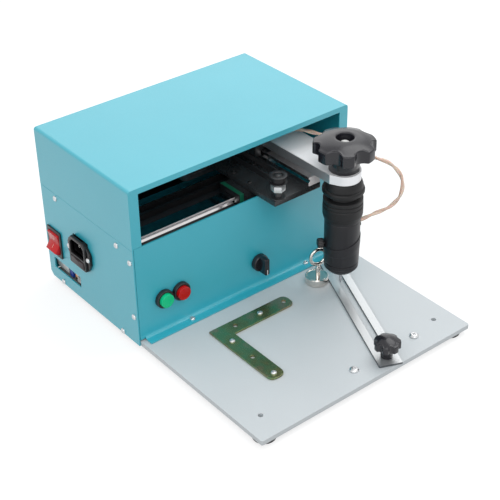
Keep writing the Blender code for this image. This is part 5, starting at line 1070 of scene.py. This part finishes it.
def make_bracket():
    x0, y1, leg, w, end_r, row = 60.6, -32.7, 96.5, 18.0, 7.5, 8.5
    outline = [(x0, y1, 1.0), (x0, y1 - leg, end_r), (x0 + w, y1 - leg, end_r), (x0 + w, y1 - w, 0.4),
               (x0 + leg, y1 - w, end_r), (x0 + leg, y1, end_r)]
    holes = []
    for along in (26.5, 58.0, 89.5):
        holes += [circle(x0 + along, y1 - row, 2.4, 24), circle(x0 + row, y1 - along, 2.4, 24)]
    make("angle_plate", slab([fillet(outline, 1, 6, True)] + holes, 0.3, 2.3, edge=0.2), "chromate",
         "corner_bracket", "zinc_chromate", smooth=20)


def make_magnet():
    """The pot magnet, its face a little below the pot's rim, and its lifting eye."""
    pot = [(0, 0.3), (11.6, 0.3), (12.1, 0.8, 0.3), (12.1, 8.0, 0.3), (11.8, 8.3, 0.2), (10.9, 8.3, 0.2),
           (10.7, 7.6, 0.1), (10.2, 7.5, 0.1), (9.9, 7.9, 0.1), (0, 7.9)]
    lathe("magnet_cup", pot, "nickel", "magnet_pot", "nickel", "magnet", (MAGNET_X, MAGNET_Y, 0), sides=112)
    x, y = MAGNET_X + 0.9, MAGNET_Y - 0.7
    shank = [(0, 7.8), (2.5, 7.8), (2.5, 18.6, 0.5), (1.5, 19.2, 0.3), (1.5, 20.6, 0.6), (2.2, 22.4),
             (0, 22.9)]
    bm = turned(circle(8.8, 0, 1.9, 18), (x, y, 31.2), Y, 80)
    ring_turn = Matrix.Rotation(math.radians(-12.5), 3, "Z")
    bmesh.ops.rotate(bm, cent=at(x, y, 31.2), matrix=ring_turn, verts=bm.verts)
    turned(shank, (x, y, 0), sides=40, closed=False, bm=bm)
    make("lifting_eye", bm, "nickel", "magnet_eye", "nickel", "magnet")


def flutes(count, depth, from_radius):
    """Grip on a knob's rim, as a change of radius."""
    def wave(angle, height, radius):
        return -depth * abs(math.sin(angle * count)) if radius > from_radius else 0.0
    return wave


def make_speed_knob():
    x, z = 150.4, 30.2
    bm = turned([(0, -5.8), (8.4, -6.2, 0.6), (9.4, -5.2, 0.6), (9.4, -0.8), (0, -0.8)], (x, 0, z), Y,
                closed=False, wave=flutes(15, 0.22, 9.3))
    slab([rect(x, z, 3.1, 9.7, 2.1)], -15.3, -5.2, "Y", 0.9, bm)
    make("pointer_knob", bm, "knob", "speed_knob", "black_plastic", "speed_dial")
    make("pointer_mark", slab([rect(x, z - 6.3, 0.45, 2.9, 0.3)], -15.45, -15.2, "Y", 0.08), "white",
         body="speed_dial")


def make_thumb_screw():
    knurl = [(0, 0), (2, 0), (2, 2.4), (4.4, 2.4, 0.4), (5.2, 3.2, 0.5), (5.2, 7.8, 0.8), (4.2, 8.8, 0.8),
             (1.6, 8.9, 0.3), (1.4, 8.5), (0, 8.5)]
    lathe("knurled_screw", knurl, "moulded", "thumb_screw", "black_plastic", "sleeve_screw", sides=120,
          wave=flutes(12, 0.25, 5.1), **beside_head(150, 16.5, 57.5))


def make_vent_shade_sheet():
    """A near-black sheet behind the rear vents, painted shade for the dark inside."""
    make("vent_shade_sheet", slab([span(80, 190, 162.6, 163.2)], 42, 84, edge=0.2), "grime")


make_wire()
make_screws()
make_feet()
make_buttons()
make_head()
make_spindle()
make_bellows()
make_knobs()
make_switch()
make_inlet()
make_ports()
make_board()
make_supply()
make_drives()
make_idler()
make_blocks()
make_arm()
make_carriage_plate()
make_clamp()
make_bracket()
make_magnet()
make_speed_knob()
make_thumb_screw()
make_vent_shade_sheet()


# The solids that stay: their materials, and the radii of their edges

KEPT = {
    "paint": ("left_side_panel", "right_side_panel", "rear_panel", "front_panel", "top_cover"),
    "deck": ("base_plate",),
    "rail_x": ("x_rail",),
    "rail_y": ("y_rail",),
    "zinc": ("speed_pot",),
    "shelf": ("rail_shelf",),
}
SOFTENED = {"top_cover": 0.7, "front_panel": 0.3, "left_side_panel": 0.3, "right_side_panel": 0.3,
            "rear_panel": 0.3, "base_plate": 0.4, "x_rail": 0.2, "y_rail": 0.2}


def dress_solids():
    for look, names in KEPT.items():
        for name in names:
            slots = NODES[name].data.materials
            for index in range(len(slots)):
                slots[index] = MAT[look]
    for name, width in SOFTENED.items():
        weld = NODES[name].modifiers.new("weld", "WELD")
        weld.merge_threshold = 0.01 * MM
        bevel = NODES[name].modifiers.new("edges", "BEVEL")
        bevel.width = width * MM
        bevel.segments = 2
        bevel.limit_method = "ANGLE"
        bevel.angle_limit = math.radians(35)
        bevel.harden_normals = True


dress_solids()


# Floor, lights and background

AIM = Vector((0, 0, 0.1))
LAMPS = (("overhead", (0.9, 0.05, 1.75), 1.4, 12, False), ("sheen", (1.1, 1.4, 1.25), 1.7, 5, True),
         ("left", (-2.0, -0.6, 1.3), 1.2, 5.5, False), ("front", (-0.75, -1.25, 1.5), 1.2, 9, False))


def seen_background(tree):
    """1 for the rays that see the background: the camera's, reflections and what passes through glass."""
    rays = ("Camera", "Glossy", "Transmission")
    camera, glossy, through = (tree.add("LightPath", f"Is {ray} Ray") for ray in rays)
    return tree.math("MAXIMUM", tree.math("MAXIMUM", camera, glossy), through)


def make_floor():
    material = bpy.data.materials.new("floor_white")
    tree = Tree(material)
    tree.tree.nodes.clear()
    diffuse = tree.add("BsdfDiffuse", Color=(0.42, 0.42, 0.42, 1))
    glow = tree.math("MULTIPLY", seen_background(tree), 0.7)
    lift = tree.add("Emission", Color=(1, 1, 1, 1), Strength=glow)
    tree.add("OutputMaterial", Surface=tree.add("AddShader", i0=diffuse, i1=lift))
    bm = bmesh.new()
    bmesh.ops.create_grid(bm, x_segments=1, y_segments=1, size=8)
    floor = show("floor", mesh_of("floor", bm))
    floor.data.materials.append(material)


def make_world():
    world = bpy.data.worlds.new("studio")
    tree = Tree(world)
    tree.tree.nodes.clear()
    lighting = tree.add("Background", Color=(0.97, 0.985, 1, 1), Strength=0.65)
    shown = tree.add("Background", Color=(1, 1, 1, 1))
    tree.add("OutputWorld", Surface=tree.add("MixShader", i0=seen_background(tree), i1=lighting, i2=shown))
    bpy.context.scene.world = world


def make_lamp(name, place, size, power, gloss_only):
    data = bpy.data.lights.new(name, "AREA")
    data.shape = "DISK"
    data.size = size
    data.energy = power
    lamp = show(name, data)
    lamp.visible_diffuse = not gloss_only
    lamp.location = place
    lamp.rotation_mode = "QUATERNION"
    lamp.rotation_quaternion = (AIM - Vector(place)).to_track_quat("-Z", "Y")


make_floor()
make_world()
for row in LAMPS:
    make_lamp(*row)

bpy.context.scene.view_settings.view_transform = "Standard"
